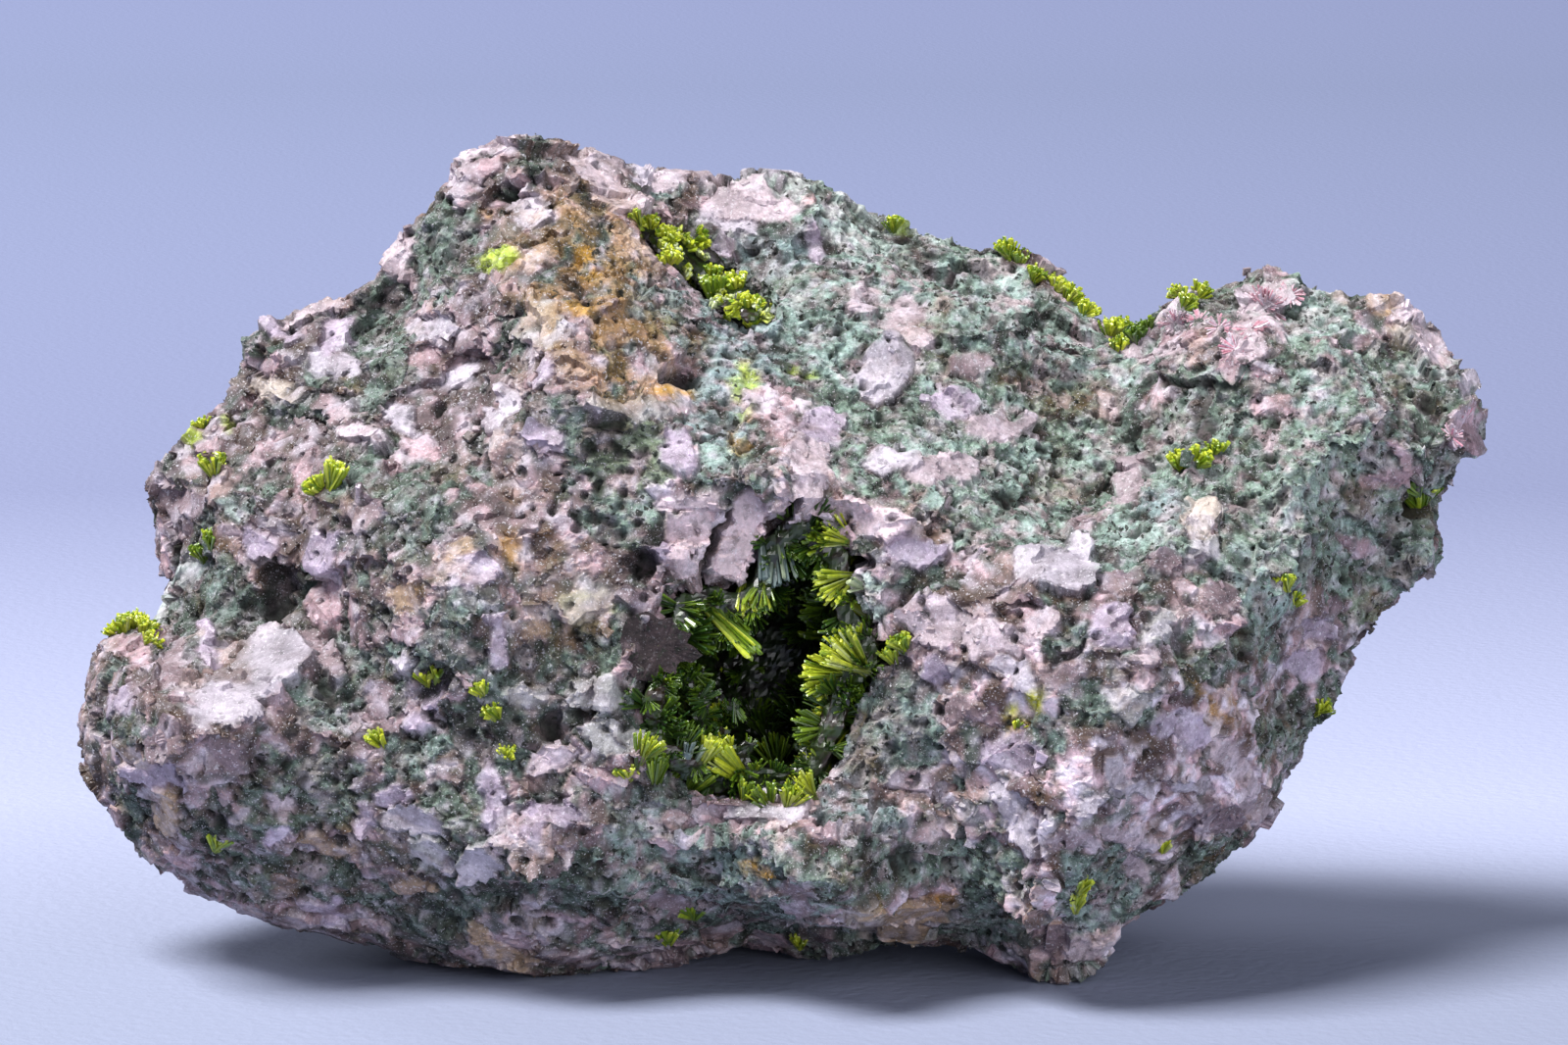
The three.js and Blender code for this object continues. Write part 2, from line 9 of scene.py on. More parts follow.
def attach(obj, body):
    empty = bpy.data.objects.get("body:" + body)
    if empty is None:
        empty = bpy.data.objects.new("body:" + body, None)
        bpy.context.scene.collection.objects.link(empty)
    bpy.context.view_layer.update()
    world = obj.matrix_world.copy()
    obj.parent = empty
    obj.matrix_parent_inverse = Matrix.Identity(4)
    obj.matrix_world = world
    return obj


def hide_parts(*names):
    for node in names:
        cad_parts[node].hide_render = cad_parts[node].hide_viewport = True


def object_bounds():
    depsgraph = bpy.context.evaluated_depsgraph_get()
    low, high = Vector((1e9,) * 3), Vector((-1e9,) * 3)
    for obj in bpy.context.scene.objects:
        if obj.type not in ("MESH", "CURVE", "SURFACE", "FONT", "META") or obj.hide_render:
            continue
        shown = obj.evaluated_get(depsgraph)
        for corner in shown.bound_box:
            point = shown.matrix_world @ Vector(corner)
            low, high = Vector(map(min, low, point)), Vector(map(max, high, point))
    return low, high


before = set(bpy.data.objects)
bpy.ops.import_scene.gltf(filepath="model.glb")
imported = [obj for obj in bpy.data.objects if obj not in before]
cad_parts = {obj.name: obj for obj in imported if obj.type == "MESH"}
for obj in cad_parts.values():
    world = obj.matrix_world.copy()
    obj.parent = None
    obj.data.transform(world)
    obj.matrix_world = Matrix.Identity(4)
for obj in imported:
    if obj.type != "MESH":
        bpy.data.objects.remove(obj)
cad_box = [list(corner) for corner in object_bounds()]
MM = 0.001

# The picture's own frame: where the eye is, and how its pixels lie on the specimen
PICTURE_WIDTH = 1600
PICTURE_MIDDLE = (800, 533)
MM_PER_PIXEL = 80 / 1442
EYE_DISTANCE = 420
EYE_ELEVATION = math.radians(9)
EYE_TARGET = np.array([0.1, -0.45, 24.75])
EYE_SIDE = np.array([1.0, 0.0, 0.0])
EYE_UP = np.array([0.0, math.sin(EYE_ELEVATION), math.cos(EYE_ELEVATION)])
TO_EYE = np.array([0.0, -math.cos(EYE_ELEVATION), math.sin(EYE_ELEVATION)])

VOXEL = 0.19
CRUST_VOXEL = 0.24
SMALL_PIECES = 1
CHLORITE_CRUMBS = int(12000 * SMALL_PIECES)
FELDSPAR_SHARDS = int(3600 * SMALL_PIECES)
# Share of the skin's faces that is kept: first where the picture's eye can't see it, then everywhere
HIDDEN_KEPT = 0.76
SKIN_KEPT = 0.87

# Colours as seen on the specimen, in sRGB
TINTS = {
    "white": (212, 203, 215),
    "pinkwhite": (214, 196, 204),
    "cream": (216, 202, 192),
    # plate is pinkish white, lightened further as painted light, since the plates over the hollow lie in the
    # key light's shade
    "plate": (250, 226, 232),
    "lilac": (200, 184, 204),
    "pink": (200, 170, 178),
    "rose": (212, 138, 158),
    "mauve": (152, 132, 138),
    "dusk": (104, 84, 88),
    "flake": (74, 60, 62),
    "tan": (196, 168, 142),
    "glass": (188, 186, 186),
    "teal": (144, 164, 158),
    "pale": (194, 205, 202),
    "blue": (146, 162, 170),
    "sage": (126, 144, 130),
    "olive": (122, 128, 90),
    "deep": (70, 84, 74),
    "night": (34, 38, 36),
    "rust": (150, 116, 66),
    "orange": (200, 154, 70),
    "earth": (78, 58, 44),
    "yellow": (200, 200, 66),
    "lime": (180, 200, 84),
}

# Feldspar grains and blades: x, y, half length, half width, turn in degrees, tint, rise in mm
FELDSPAR = [
    (495, 142, 34, 11, -27, "pinkwhite", 0.2), (478, 172, 22, 15, 0, "mauve", 0.2),
    (500, 168, 12, 12, 0, "pink", 0.2), (405, 262, 9, 32, 6, "pinkwhite", 0.2),
    (409, 288, 9, 12, 0, "mauve", 0.1), (542, 214, 24, 15, 12, "white", 0.3),
    (545, 264, 26, 8, -28, "tan", 0.3), (318, 316, 38, 8, -12, "pinkwhite", 0.2),
    (288, 338, 20, 11, 35, "lilac", 0.2), (345, 345, 20, 22, 0, "lilac", 0.2),
    (340, 372, 34, 11, 14, "white", 0.3), (276, 396, 34, 10, 16, "cream", 0.4),
    (268, 372, 22, 9, 10, "pink", 0.1), (440, 331, 28, 12, 12, "white", 0.3),
    (408, 424, 22, 13, 32, "white", 0.3), (472, 390, 22, 14, -10, "white", 0.25),
    (512, 418, 26, 12, -62, "white", 0.3), (552, 332, 22, 22, 0, "glass", 0.2),
    (430, 365, 16, 12, 0, "pink", 0.2), (480, 355, 18, 12, 30, "mauve", 0.2),
    (372, 446, 28, 11, 20, "pinkwhite", 0.25), (430, 452, 22, 10, 10, "pink", 0.2),
    (555, 448, 22, 14, 0, "lilac", 0.2), (600, 372, 20, 9, -35, "pinkwhite", 0.3),
    (556, 372, 8, 24, 10, "lilac", 0.2), (640, 416, 46, 12, 8, "glass", 0.3),
    (624, 330, 16, 22, 0, "mauve", 0.2), (618, 186, 52, 13, 36, "pinkwhite", 0.2),
    (668, 178, 24, 9, 12, "white", 0.1), (765, 212, 52, 20, -8, "pinkwhite", 0.3),
    (742, 230, 30, 14, 10, "white", 0.3), (735, 258, 18, 12, 0, "lilac", 0.2),
    (830, 248, 26, 10, 60, "lilac", 0.1), (882, 308, 20, 14, 0, "pinkwhite", 0.2),
    (926, 328, 20, 26, -25, "pinkwhite", 0.2), (902, 378, 26, 36, 20, "white", 0.35),
    (838, 434, 26, 22, 0, "lilac", 0.25), (826, 478, 24, 36, 0, "pinkwhite", 0.25),
    (800, 398, 16, 9, 0, "pink", 0.1), (985, 372, 22, 14, 10, "mauve", 0.1),
    (970, 412, 30, 14, 0, "lilac", 0.1), (1022, 432, 34, 12, 4, "pinkwhite", 0.2),
    (965, 478, 38, 16, -6, "pinkwhite", 0.3), (910, 468, 30, 14, 10, "white", 0.2),
    (1070, 272, 16, 14, 30, "pinkwhite", 0.2), (1198, 312, 32, 12, -36, "pinkwhite", 0.2),
    (1196, 344, 24, 12, 0, "pink", 0.2), (1176, 362, 38, 9, -4, "pinkwhite", 0.4),
    (1290, 304, 30, 22, 0, "pinkwhite", 0.1), (1275, 345, 30, 24, -40, "pinkwhite", 0.2),
    (1300, 275, 16, 12, 0, "pink", 0.1), (1258, 372, 14, 18, 20, "pink", 0.2),
    (1365, 306, 12, 7, 0, "cream", 0.2), (1412, 306, 16, 15, 0, "tan", 0.3),
    (1452, 344, 42, 15, 36, "pinkwhite", 0.3), (1498, 434, 20, 24, 10, "pink", 0.2),
    (1496, 396, 9, 14, 0, "white", 0.2), (1300, 414, 26, 12, 0, "pink", 0.1),
    (1128, 414, 12, 20, -30, "pinkwhite", 0.2), (1386, 427, 14, 6, -12, "white", 0.2),
    (1150, 490, 15, 28, 18, "pinkwhite", 0.5), (1222, 530, 20, 22, 0, "cream", 0.2),
    (1228, 562, 20, 14, 0, "glass", 0.2), (1422, 490, 32, 13, -8, "pink", 0.2),
    (1428, 462, 9, 22, -20, "pink", 0.2), (1076, 578, 44, 26, 4, "white", 0.5),
    (1104, 534, 16, 14, 0, "mauve", 0.2), (1386, 556, 20, 10, 0, "pink", 0.1),
    (172, 508, 11, 34, -12, "mauve", 0.2), (196, 512, 20, 15, 0, "mauve", 0.3),
    (166, 570, 14, 20, 0, "pink", 0.3), (176, 604, 42, 9, -60, "pale", 0.3),
    (314, 480, 9, 20, 10, "pink", 0.2), (366, 528, 20, 24, 0, "mauve", 0.2),
    (254, 552, 26, 14, 20, "lilac", 0.3), (336, 562, 17, 20, 0, "lilac", 0.3),
    (330, 618, 20, 30, 0, "pink", 0.2), (482, 584, 26, 18, -6, "lilac", 0.25),
    (410, 610, 18, 18, 0, "tan", 0.1), (470, 560, 18, 12, 0, "tan", 0.2),
    (412, 652, 18, 10, 20, "pink", 0.2), (410, 676, 12, 8, 0, "white", 0.3),
    (330, 668, 36, 12, 54, "mauve", 0.3), (258, 696, 76, 29, -32, "white", 0.7),
    (700, 184, 44, 9, 6, "pinkwhite", 0.2), (640, 168, 30, 9, 30, "white", 0.2),
    (786, 176, 40, 8, -4, "white", 0.1), (880, 212, 36, 7, 18, "pale", 0.1),
    (138, 662, 20, 16, 30, "pink", 0.2), (214, 656, 9, 24, 8, "lilac", 0.2),
    (178, 676, 16, 22, 0, "mauve", 0.2), (120, 716, 18, 14, 0, "lilac", 0.1),
    (165, 752, 24, 12, 10, "mauve", 0.2), (228, 768, 24, 18, 0, "mauve", 0.2),
    (162, 790, 40, 10, 6, "lilac", 0.2), (436, 728, 12, 28, 32, "lilac", 0.3),
    (384, 712, 14, 20, 0, "mauve", 0.2), (505, 655, 12, 26, 0, "lilac", 0.3),
    (536, 708, 26, 12, 8, "glass", 0.2), (545, 640, 20, 12, 0, "tan", 0.2),
    (692, 462, 18, 24, 0, "lilac", 0.3), (708, 514, 34, 13, 4, "pinkwhite", 0.4),
    (703, 556, 30, 34, -8, "plate", 0.45), (762, 540, 21, 40, 24, "plate", 0.7),
    (752, 582, 24, 15, 12, "plate", 0.7), (798, 514, 16, 14, -20, "plate", 0.4),
    (852, 520, 38, 10, -6, "plate", 0.3), (900, 534, 32, 20, 10, "plate", 0.4),
    (936, 562, 32, 18, 10, "lilac", 0.2), (668, 566, 12, 12, 0, "lilac", 0.2),
    (682, 666, 38, 24, 8, "flake", 0.3), (656, 612, 30, 14, 4, "mauve", 0.4),
    (602, 618, 28, 20, 0, "cream", 0.2),
    (606, 708, 26, 18, -6, "glass", 0.4), (626, 752, 28, 18, 8, "glass", 0.3),
    (952, 634, 38, 24, 18, "pinkwhite", 0.3), (1012, 650, 30, 24, 30, "pinkwhite", 0.3),
    (1040, 690, 30, 14, 40, "white", 0.3), (958, 682, 18, 14, -20, "lilac", 0.4),
    (974, 688, 11, 10, 0, "white", 0.5), (978, 722, 24, 16, 0, "mauve", 0.2),
    (1062, 640, 26, 14, -40, "pinkwhite", 0.3), (1084, 690, 26, 14, 0, "mauve", 0.2),
    (1140, 590, 26, 16, 0, "mauve", 0.2), (1196, 576, 32, 14, 0, "mauve", 0.2),
    (1246, 610, 26, 20, 0, "mauve", 0.2), (1180, 640, 18, 24, 10, "glass", 0.3),
    (1168, 670, 20, 10, 10, "pinkwhite", 0.3), (1130, 640, 18, 24, 0, "lilac", 0.3),
    (1330, 680, 22, 18, 0, "lilac", 0.3), (1348, 644, 20, 14, 10, "lilac", 0.2),
    (1208, 744, 32, 18, 20, "lilac", 0.3), (1150, 716, 20, 22, 0, "glass", 0.2),
    (1252, 770, 22, 14, 20, "pinkwhite", 0.3), (1276, 806, 18, 34, -14, "pinkwhite", 0.4),
    (1234, 836, 32, 22, 0, "mauve", 0.3), (1216, 802, 22, 9, 0, "white", 0.3),
    (1034, 768, 34, 20, 20, "lilac", 0.3), (1036, 834, 15, 44, -22, "white", 0.4),
    (1064, 850, 12, 24, 10, "white", 0.4), (1140, 792, 12, 24, -10, "white", 0.4),
    (1110, 820, 26, 9, -38, "white", 0.3), (1150, 806, 32, 7, -10, "white", 0.2),
    (1146, 850, 34, 9, 10, "pinkwhite", 0.3), (1162, 878, 8, 22, -8, "pinkwhite", 0.3),
    (1096, 858, 26, 12, -10, "mauve", 0.2), (1062, 888, 14, 12, 0, "pink", 0.3),
    (1076, 962, 16, 26, 0, "mauve", 0.3), (1106, 972, 16, 16, -20, "pinkwhite", 0.3),
    (782, 830, 46, 11, 4, "white", 0.5), (720, 832, 26, 9, -22, "pink", 0.3),
    (830, 845, 24, 10, 10, "pink", 0.3), (812, 918, 20, 14, 30, "mauve", 0.2),
    (884, 938, 18, 26, -8, "cream", 0.3), (934, 936, 44, 14, -14, "tan", 0.3),
    (780, 966, 22, 10, 4, "pink", 0.1), (930, 800, 30, 14, 10, "mauve", 0.2),
    (682, 922, 26, 11, 24, "mauve", 0.2), (680, 974, 30, 9, -12, "mauve", 0.2),
    (560, 776, 30, 14, -20, "pinkwhite", 0.3), (572, 832, 20, 22, 0, "lilac", 0.3),
    (614, 792, 34, 10, 6, "pink", 0.2), (500, 816, 11, 38, 0, "lilac", 0.3),
    (545, 836, 14, 26, 10, "lilac", 0.3), (420, 838, 38, 17, 8, "white", 0.4),
    (404, 808, 22, 11, -6, "lilac", 0.3), (436, 872, 18, 15, 20, "glass", 0.3),
    (366, 836, 10, 24, 10, "lilac", 0.2), (487, 881, 19, 16, 30, "white", 0.5),
    (338, 864, 34, 9, 8, "tan", 0.2), (286, 820, 20, 13, 30, "pinkwhite", 0.3),
    (286, 850, 16, 9, -20, "lilac", 0.3), (170, 826, 13, 26, -10, "tan", 0.3),
    (112, 838, 14, 18, 20, "pink", 0.2), (184, 880, 18, 13, 20, "pink", 0.2),
    (330, 930, 30, 8, 26, "lilac", 0.2), (516, 968, 42, 11, 24, "tan", 0.3),
    (422, 906, 24, 9, 0, "tan", 0.2), (240, 916, 12, 7, 20, "pink", 0.2),
]

# Chlorite: x, y, half length, half width, turn, tint, strength
CHLORITE = [
    (1180, 430, 380, 170, 8, "sage", 0.26), (860, 320, 160, 90, 16, "teal", 0.4),
    (1040, 470, 150, 90, 20, "teal", 0.34), (1380, 500, 110, 110, 0, "sage", 0.22),
    (450, 247, 34, 50, 12, "sage", 0.9), (388, 346, 34, 54, 8, "sage", 0.8),
    (384, 407, 30, 10, -6, "pale", 0.9), (262, 350, 17, 18, 0, "deep", 0.9),
    (540, 165, 26, 16, 0, "sage", 0.7), (548, 140, 12, 8, 0, "deep", 0.8),
    (556, 422, 30, 20, 0, "deep", 0.7), (690, 312, 54, 24, 10, "blue", 0.8),
    (752, 350, 56, 46, 0, "blue", 0.8), (790, 262, 54, 22, -12, "blue", 0.8),
    (850, 330, 80, 44, 10, "teal", 0.7), (905, 240, 66, 26, 14, "pale", 0.8),
    (800, 186, 48, 16, 0, "pale", 0.9), (960, 290, 90, 36, 14, "teal", 0.7),
    (676, 326, 36, 12, 0, "olive", 0.9), (626, 386, 22, 20, 0, "deep", 0.8),
    (930, 426, 17, 15, 0, "night", 0.9), (730, 400, 30, 50, 10, "blue", 0.7),
    (1080, 350, 90, 44, 16, "teal", 0.7), (1226, 302, 14, 22, 10, "sage", 0.9),
    (1268, 285, 15, 12, 0, "sage", 0.9), (1322, 296, 14, 18, 0, "sage", 0.9),
    (1340, 322, 30, 18, 0, "teal", 0.9), (1320, 356, 30, 20, 0, "sage", 0.7),
    (1155, 348, 18, 12, -20, "deep", 0.9), (1128, 374, 16, 20, 0, "night", 0.8),
    (235, 520, 32, 14, -6, "pale", 0.9), (270, 490, 26, 18, 0, "sage", 0.7),
    (374, 478, 34, 30, 0, "sage", 0.8), (414, 512, 42, 34, 20, "sage", 0.95),
    (410, 552, 18, 14, 0, "pale", 0.95), (216, 586, 36, 22, 0, "teal", 0.8),
    (160, 614, 44, 7, -18, "blue", 0.8), (236, 622, 44, 24, 0, "deep", 0.85),
    (462, 640, 38, 22, -14, "teal", 0.9), (458, 676, 24, 18, 0, "night", 0.9),
    (374, 676, 24, 18, 0, "teal", 0.85), (400, 700, 20, 20, 0, "deep", 0.7),
    (340, 730, 18, 14, 0, "pale", 0.9), (300, 740, 44, 10, -16, "deep", 0.8),
    (130, 740, 44, 18, 30, "deep", 0.7), (422, 766, 28, 26, 20, "teal", 0.95),
    (500, 742, 44, 40, 20, "deep", 0.85), (640, 470, 40, 46, 0, "olive", 0.85),
    (640, 530, 48, 26, 8, "sage", 0.85), (772, 462, 16, 26, 0, "deep", 0.7),
    (760, 500, 10, 16, 10, "teal", 0.9), (725, 452, 9, 20, -10, "teal", 0.8),
    (560, 744, 18, 20, 0, "night", 0.7), (886, 606, 18, 22, 0, "pale", 0.8),
    (938, 604, 20, 30, 10, "deep", 0.8), (1046, 500, 36, 50, 0, "teal", 0.8),
    (1155, 560, 46, 28, 10, "teal", 0.9), (1180, 516, 34, 16, 0, "blue", 0.8),
    (1292, 628, 22, 44, -10, "teal", 0.85), (1392, 582, 44, 26, 0, "sage", 0.7),
    (1395, 622, 22, 18, 0, "olive", 0.7), (1092, 648, 36, 9, -46, "deep", 0.8),
    (912, 738, 50, 56, 0, "teal", 1.0), (880, 770, 30, 30, 0, "blue", 0.95),
    (1112, 722, 34, 22, 0, "deep", 0.8), (1058, 762, 18, 26, -20, "teal", 0.85),
    (1176, 736, 22, 15, 0, "sage", 0.85), (1312, 744, 34, 30, -40, "sage", 0.7),
    (1132, 902, 54, 38, -20, "teal", 0.95), (1236, 872, 44, 14, -28, "sage", 0.8),
    (760, 900, 80, 54, 10, "teal", 0.8), (880, 880, 60, 40, 0, "sage", 0.7),
    (870, 830, 44, 24, 0, "blue", 0.8), (684, 796, 30, 22, -10, "deep", 0.85),
    (634, 830, 34, 18, 20, "pale", 0.9), (640, 868, 54, 20, 14, "teal", 0.75),
    (990, 890, 50, 34, 0, "sage", 0.7), (600, 900, 60, 30, 0, "deep", 0.6),
    (310, 806, 56, 44, 10, "sage", 0.7), (134, 830, 20, 32, 10, "deep", 0.9),
    (212, 836, 18, 30, 0, "deep", 0.9), (250, 872, 50, 22, 20, "deep", 0.8),
    (476, 840, 18, 44, 6, "sage", 0.8), (520, 882, 10, 16, 0, "teal", 0.9),
    (450, 926, 60, 32, 0, "deep", 0.7), (340, 900, 60, 24, 16, "deep", 0.7),
    (560, 700, 60, 60, 0, "sage", 0.15), (1000, 940, 44, 20, 10, "sage", 0.8),
    (1420, 400, 60, 50, 0, "sage", 0.3), (1466, 470, 24, 30, 0, "teal", 0.8),
]

# Iron stains: x, y, half length, half width, turn, tint, strength
STAINS = [
    (590, 270, 84, 90, 20, "rust", 0.75), (640, 360, 84, 60, 10, "rust", 0.65),
    (604, 262, 20, 16, 0, "orange", 0.7), (592, 318, 22, 18, 0, "orange", 0.5),
    (686, 398, 24, 9, 10, "orange", 0.9), (700, 352, 30, 9, -10, "rust", 0.7),
    (756, 446, 12, 18, 0, "orange", 0.8), (530, 222, 40, 6, 14, "earth", 0.9),
    (496, 226, 10, 10, 0, "orange", 0.6), (590, 290, 28, 12, 40, "earth", 0.8),
    (560, 246, 30, 16, 0, "earth", 0.6), (700, 206, 12, 28, 20, "earth", 0.8),
    (640, 434, 30, 16, 0, "earth", 0.7), (540, 540, 50, 50, 0, "rust", 0.4),
    (524, 550, 16, 30, 10, "orange", 0.5), (600, 660, 50, 30, 0, "rust", 0.55),
    (600, 620, 40, 26, 0, "olive", 0.5), (352, 392, 24, 7, 10, "rust", 0.8),
    (444, 590, 50, 34, 0, "rust", 0.3), (240, 682, 30, 20, -40, "earth", 0.7),
    (776, 886, 16, 12, -20, "orange", 0.8), (820, 884, 60, 40, 0, "rust", 0.25),
    (1046, 722, 34, 13, -46, "yellow", 1.0), (1034, 742, 14, 10, 0, "orange", 0.9),
    (1230, 712, 46, 4, 52, "rust", 0.9), (1262, 722, 30, 6, 40, "rust", 0.7),
    (1220, 682, 30, 4, 60, "earth", 0.8), (1412, 318, 16, 26, 0, "rust", 0.5),
    (1080, 609, 30, 4, 2, "earth", 0.9), (1250, 394, 50, 5, -4, "earth", 0.8),
    (1420, 350, 30, 20, 0, "olive", 0.4), (1075, 950, 9, 7, 0, "orange", 0.9),
    (888, 924, 14, 14, 0, "orange", 0.35), (962, 918, 14, 12, 0, "orange", 0.6),
    (480, 712, 60, 60, 0, "earth", 0.2), (1410, 606, 14, 30, 20, "rust", 0.5),
    (1462, 530, 14, 30, 0, "rust", 0.5), (507, 265, 26, 9, 0, "lime", 0.9),
    (196, 446, 12, 9, -30, "lime", 0.8), (232, 434, 9, 16, 0, "lime", 0.5),
    (757, 396, 13, 32, 0, "lime", 0.8), (820, 378, 18, 6, -8, "lime", 0.8),
    (915, 226, 16, 7, 14, "lime", 0.6), (776, 486, 14, 6, 0, "lime", 0.7),
]

# Pits and cracks: x, y, half length, half width, turn, depth in mm
PITS = [
    (655, 577, 15, 15, 0, 1.6), (730, 560, 44, 5, -62, 1.6), (814, 517, 6, 16, 10, 1.4),
    (880, 572, 16, 9, 30, 1.2), (698, 384, 20, 14, 10, 1.5), (696, 262, 22, 16, 30, 1.2),
    (284, 588, 24, 14, 0, 0.7), (282, 622, 18, 22, 0, 0.8), (1226, 424, 16, 22, 0, 0.6),
    (632, 462, 16, 7, 30, 0.5), (612, 528, 16, 8, 10, 0.5), (590, 540, 8, 8, 0, 0.5),
    (610, 498, 6, 5, 0, 0.5), (840, 308, 8, 7, 0, 0.7), (716, 388, 9, 8, 0, 0.7),
    (436, 246, 7, 7, 0, 0.5), (516, 196, 8, 10, 0, 0.5), (586, 288, 14, 8, 30, 0.6),
    (330, 700, 9, 18, -30, 0.8), (790, 892, 9, 5, 0, 0.6), (836, 838, 7, 10, 0, 0.6),
    (925, 876, 16, 14, 0, 0.5), (1090, 668, 26, 6, -40, 0.6), (894, 660, 28, 14, 24, 1.6),
    (1446, 512, 12, 22, 10, 1.6), (1030, 510, 12, 14, 0, 0.4), (1044, 390, 7, 9, 0, 0.4),
    (566, 742, 14, 20, 0, 0.7), (440, 700, 20, 14, 0, 0.7),
    (316, 392, 26, 9, 10, 0.5), (352, 406, 14, 6, 10, 0.5), (1240, 394, 46, 4, -4, 0.4),
    (620, 432, 18, 12, 0, 0.6), (742, 430, 26, 5, -4, 0.5), (980, 546, 4, 4, 0, 0.4),
    (1046, 614, 14, 6, 10, 0.5), (1205, 650, 20, 7, 50, 0.6), (744, 300, 10, 22, 0, 1.2),
    (1418, 560, 6, 12, 0, 0.5), (1390, 660, 10, 16, 40, 0.7), (720, 690, 14, 12, 0, 0.4),
]

# Rosettes of pink blades: x, y, reach in mm, blades
PINK_STARS = [
    (1290, 314, 1.6, 150), (1276, 334, 1.3, 110), (1262, 356, 1.2, 90), (1272, 376, 1.0, 60),
    (1200, 332, 1.2, 90), (1224, 326, 1.0, 60), (1316, 300, 1.0, 60), (1244, 334, 0.9, 50),
    (1496, 430, 1.2, 70), (1480, 446, 0.9, 50),
]

# Crystal sprays: x, y, direction in the picture (degrees, 90 is up), share towards the eye,
# length in mm, spread, crystals, tone (0 deep green to 1 bright yellow-green; in the hollow the low tones
# are partly painted shade on its shaded walls), root depth in mm
HOLLOW_SPRAYS = [
    (874, 568, 180, 0.30, 2.5, 0.55, 34, 0.95, 0.2), (866, 552, 150, 0.35, 1.8, 0.5, 22, 0.85, 0.2),
    (866, 590, 205, 0.35, 2.0, 0.45, 22, 0.80, 0.2), (886, 630, 142, 0.25, 2.5, 0.12, 9, 0.90, 0.2),
    (880, 682, 140, 0.35, 2.6, 0.42, 34, 1.00, 0.1), (872, 664, 115, 0.45, 1.7, 0.5, 20, 0.85, 0.4),
    (858, 690, 185, 0.30, 2.3, 0.45, 26, 0.75, 0.4), (876, 716, 172, 0.30, 2.6, 0.45, 34, 0.90, 0.2),
    (868, 736, 200, 0.35, 2.1, 0.45, 24, 0.80, 0.3), (858, 770, 178, 0.30, 2.5, 0.40, 30, 0.90, 0.2),
    (846, 790, 160, 0.35, 2.0, 0.5, 24, 0.80, 0.2), (828, 812, 136, 0.45, 1.5, 0.5, 22, 0.95, 0.1),
    (806, 822, 66, 0.55, 1.4, 0.5, 22, 0.80, 0.2), (784, 820, 118, 0.50, 1.3, 0.5, 18, 0.55, 0.3),
    (760, 818, 62, 0.55, 1.3, 0.5, 18, 0.65, 0.3), (764, 800, 136, 0.40, 2.9, 0.28, 26, 1.00, 0.4),
    (742, 776, 118, 0.50, 1.8, 0.4, 22, 0.95, 0.4), (716, 780, 66, 0.45, 1.9, 0.3, 16, 0.95, 0.4),
    (704, 806, 62, 0.40, 2.2, 0.4, 24, 0.35, 0.2), (668, 798, 88, 0.45, 1.7, 0.35, 22, 0.60, 0.1),
    (690, 792, 58, 0.45, 1.9, 0.4, 22, 0.70, 0.3), (654, 776, 60, 0.45, 1.7, 0.45, 18, 0.75, 0.2),
    (733, 742, 110, 0.55, 1.7, 0.35, 18, 0.95, 1.0), (731, 706, 92, 0.45, 1.6, 0.12, 7, 0.80, 1.2),
    (672, 730, 70, 0.50, 1.6, 0.4, 16, 0.25, 0.6), (694, 700, 20, 0.50, 1.8, 0.5, 18, 0.15, 1.0),
    (712, 610, -44, 0.25, 4.6, 0.07, 16, 0.62, 0.5), (722, 604, -50, 0.20, 3.4, 0.10, 12, 0.50, 0.5),
    (718, 614, 180, 0.20, 1.2, 0.05, 4, 0.95, 0.1), (758, 600, -84, 0.40, 1.6, 0.3, 16, 0.90, 0.1),
    (776, 596, -100, 0.40, 1.6, 0.4, 16, 0.55, 0.2), (690, 622, -20, 0.50, 1.7, 0.5, 20, 0.20, 0.5),
    (700, 650, 0, 0.50, 1.9, 0.55, 20, 0.12, 1.0), (746, 690, 14, 0.35, 2.4, 0.35, 22, 0.36, 1.4),
    (756, 720, 60, 0.50, 1.8, 0.5, 18, 0.35, 1.6), (780, 744, 80, 0.45, 1.8, 0.4, 16, 0.35, 2.0),
    (790, 780, 90, 0.45, 1.8, 0.5, 18, 0.45, 1.4), (740, 810, 90, 0.50, 1.6, 0.5, 18, 0.70, 0.2),
    (846, 620, 170, 0.40, 1.8, 0.45, 18, 0.35, 0.8), (852, 648, 150, 0.40, 2.0, 0.4, 18, 0.45, 0.6),
    (846, 552, 200, 0.40, 1.6, 0.5, 14, 0.40, 0.8), (800, 600, -90, 0.45, 1.4, 0.5, 14, 0.30, 0.8),
    (700, 740, 40, 0.55, 1.8, 0.5, 18, 0.20, 1.2), (840, 744, 175, 0.40, 1.8, 0.4, 14, 0.40, 0.8),
    (900, 664, 170, 0.50, 1.6, 0.5, 16, 0.55, 0.6), (914, 676, 120, 0.50, 1.2, 0.4, 12, 0.75, 0.3),
]
ICE_SPRAYS = [
    (776, 548, -86, 0.25, 2.4, 0.10, 6, 2.0, 0.0), (796, 545, -80, 0.25, 2.6, 0.12, 6, 2.0, 0.2),
    (790, 568, -95, 0.30, 1.8, 0.20, 6, 1.9, 0.4), (880, 600, 170, 0.50, 1.0, 0.4, 6, 1.6, 0.0),
    (700, 786, 74, 0.45, 1.8, 0.25, 8, 1.8, 0.3), (716, 800, 60, 0.45, 1.5, 0.3, 6, 1.7, 0.2),
    (726, 760, 30, 0.60, 1.2, 0.3, 6, 1.9, 0.6),
]
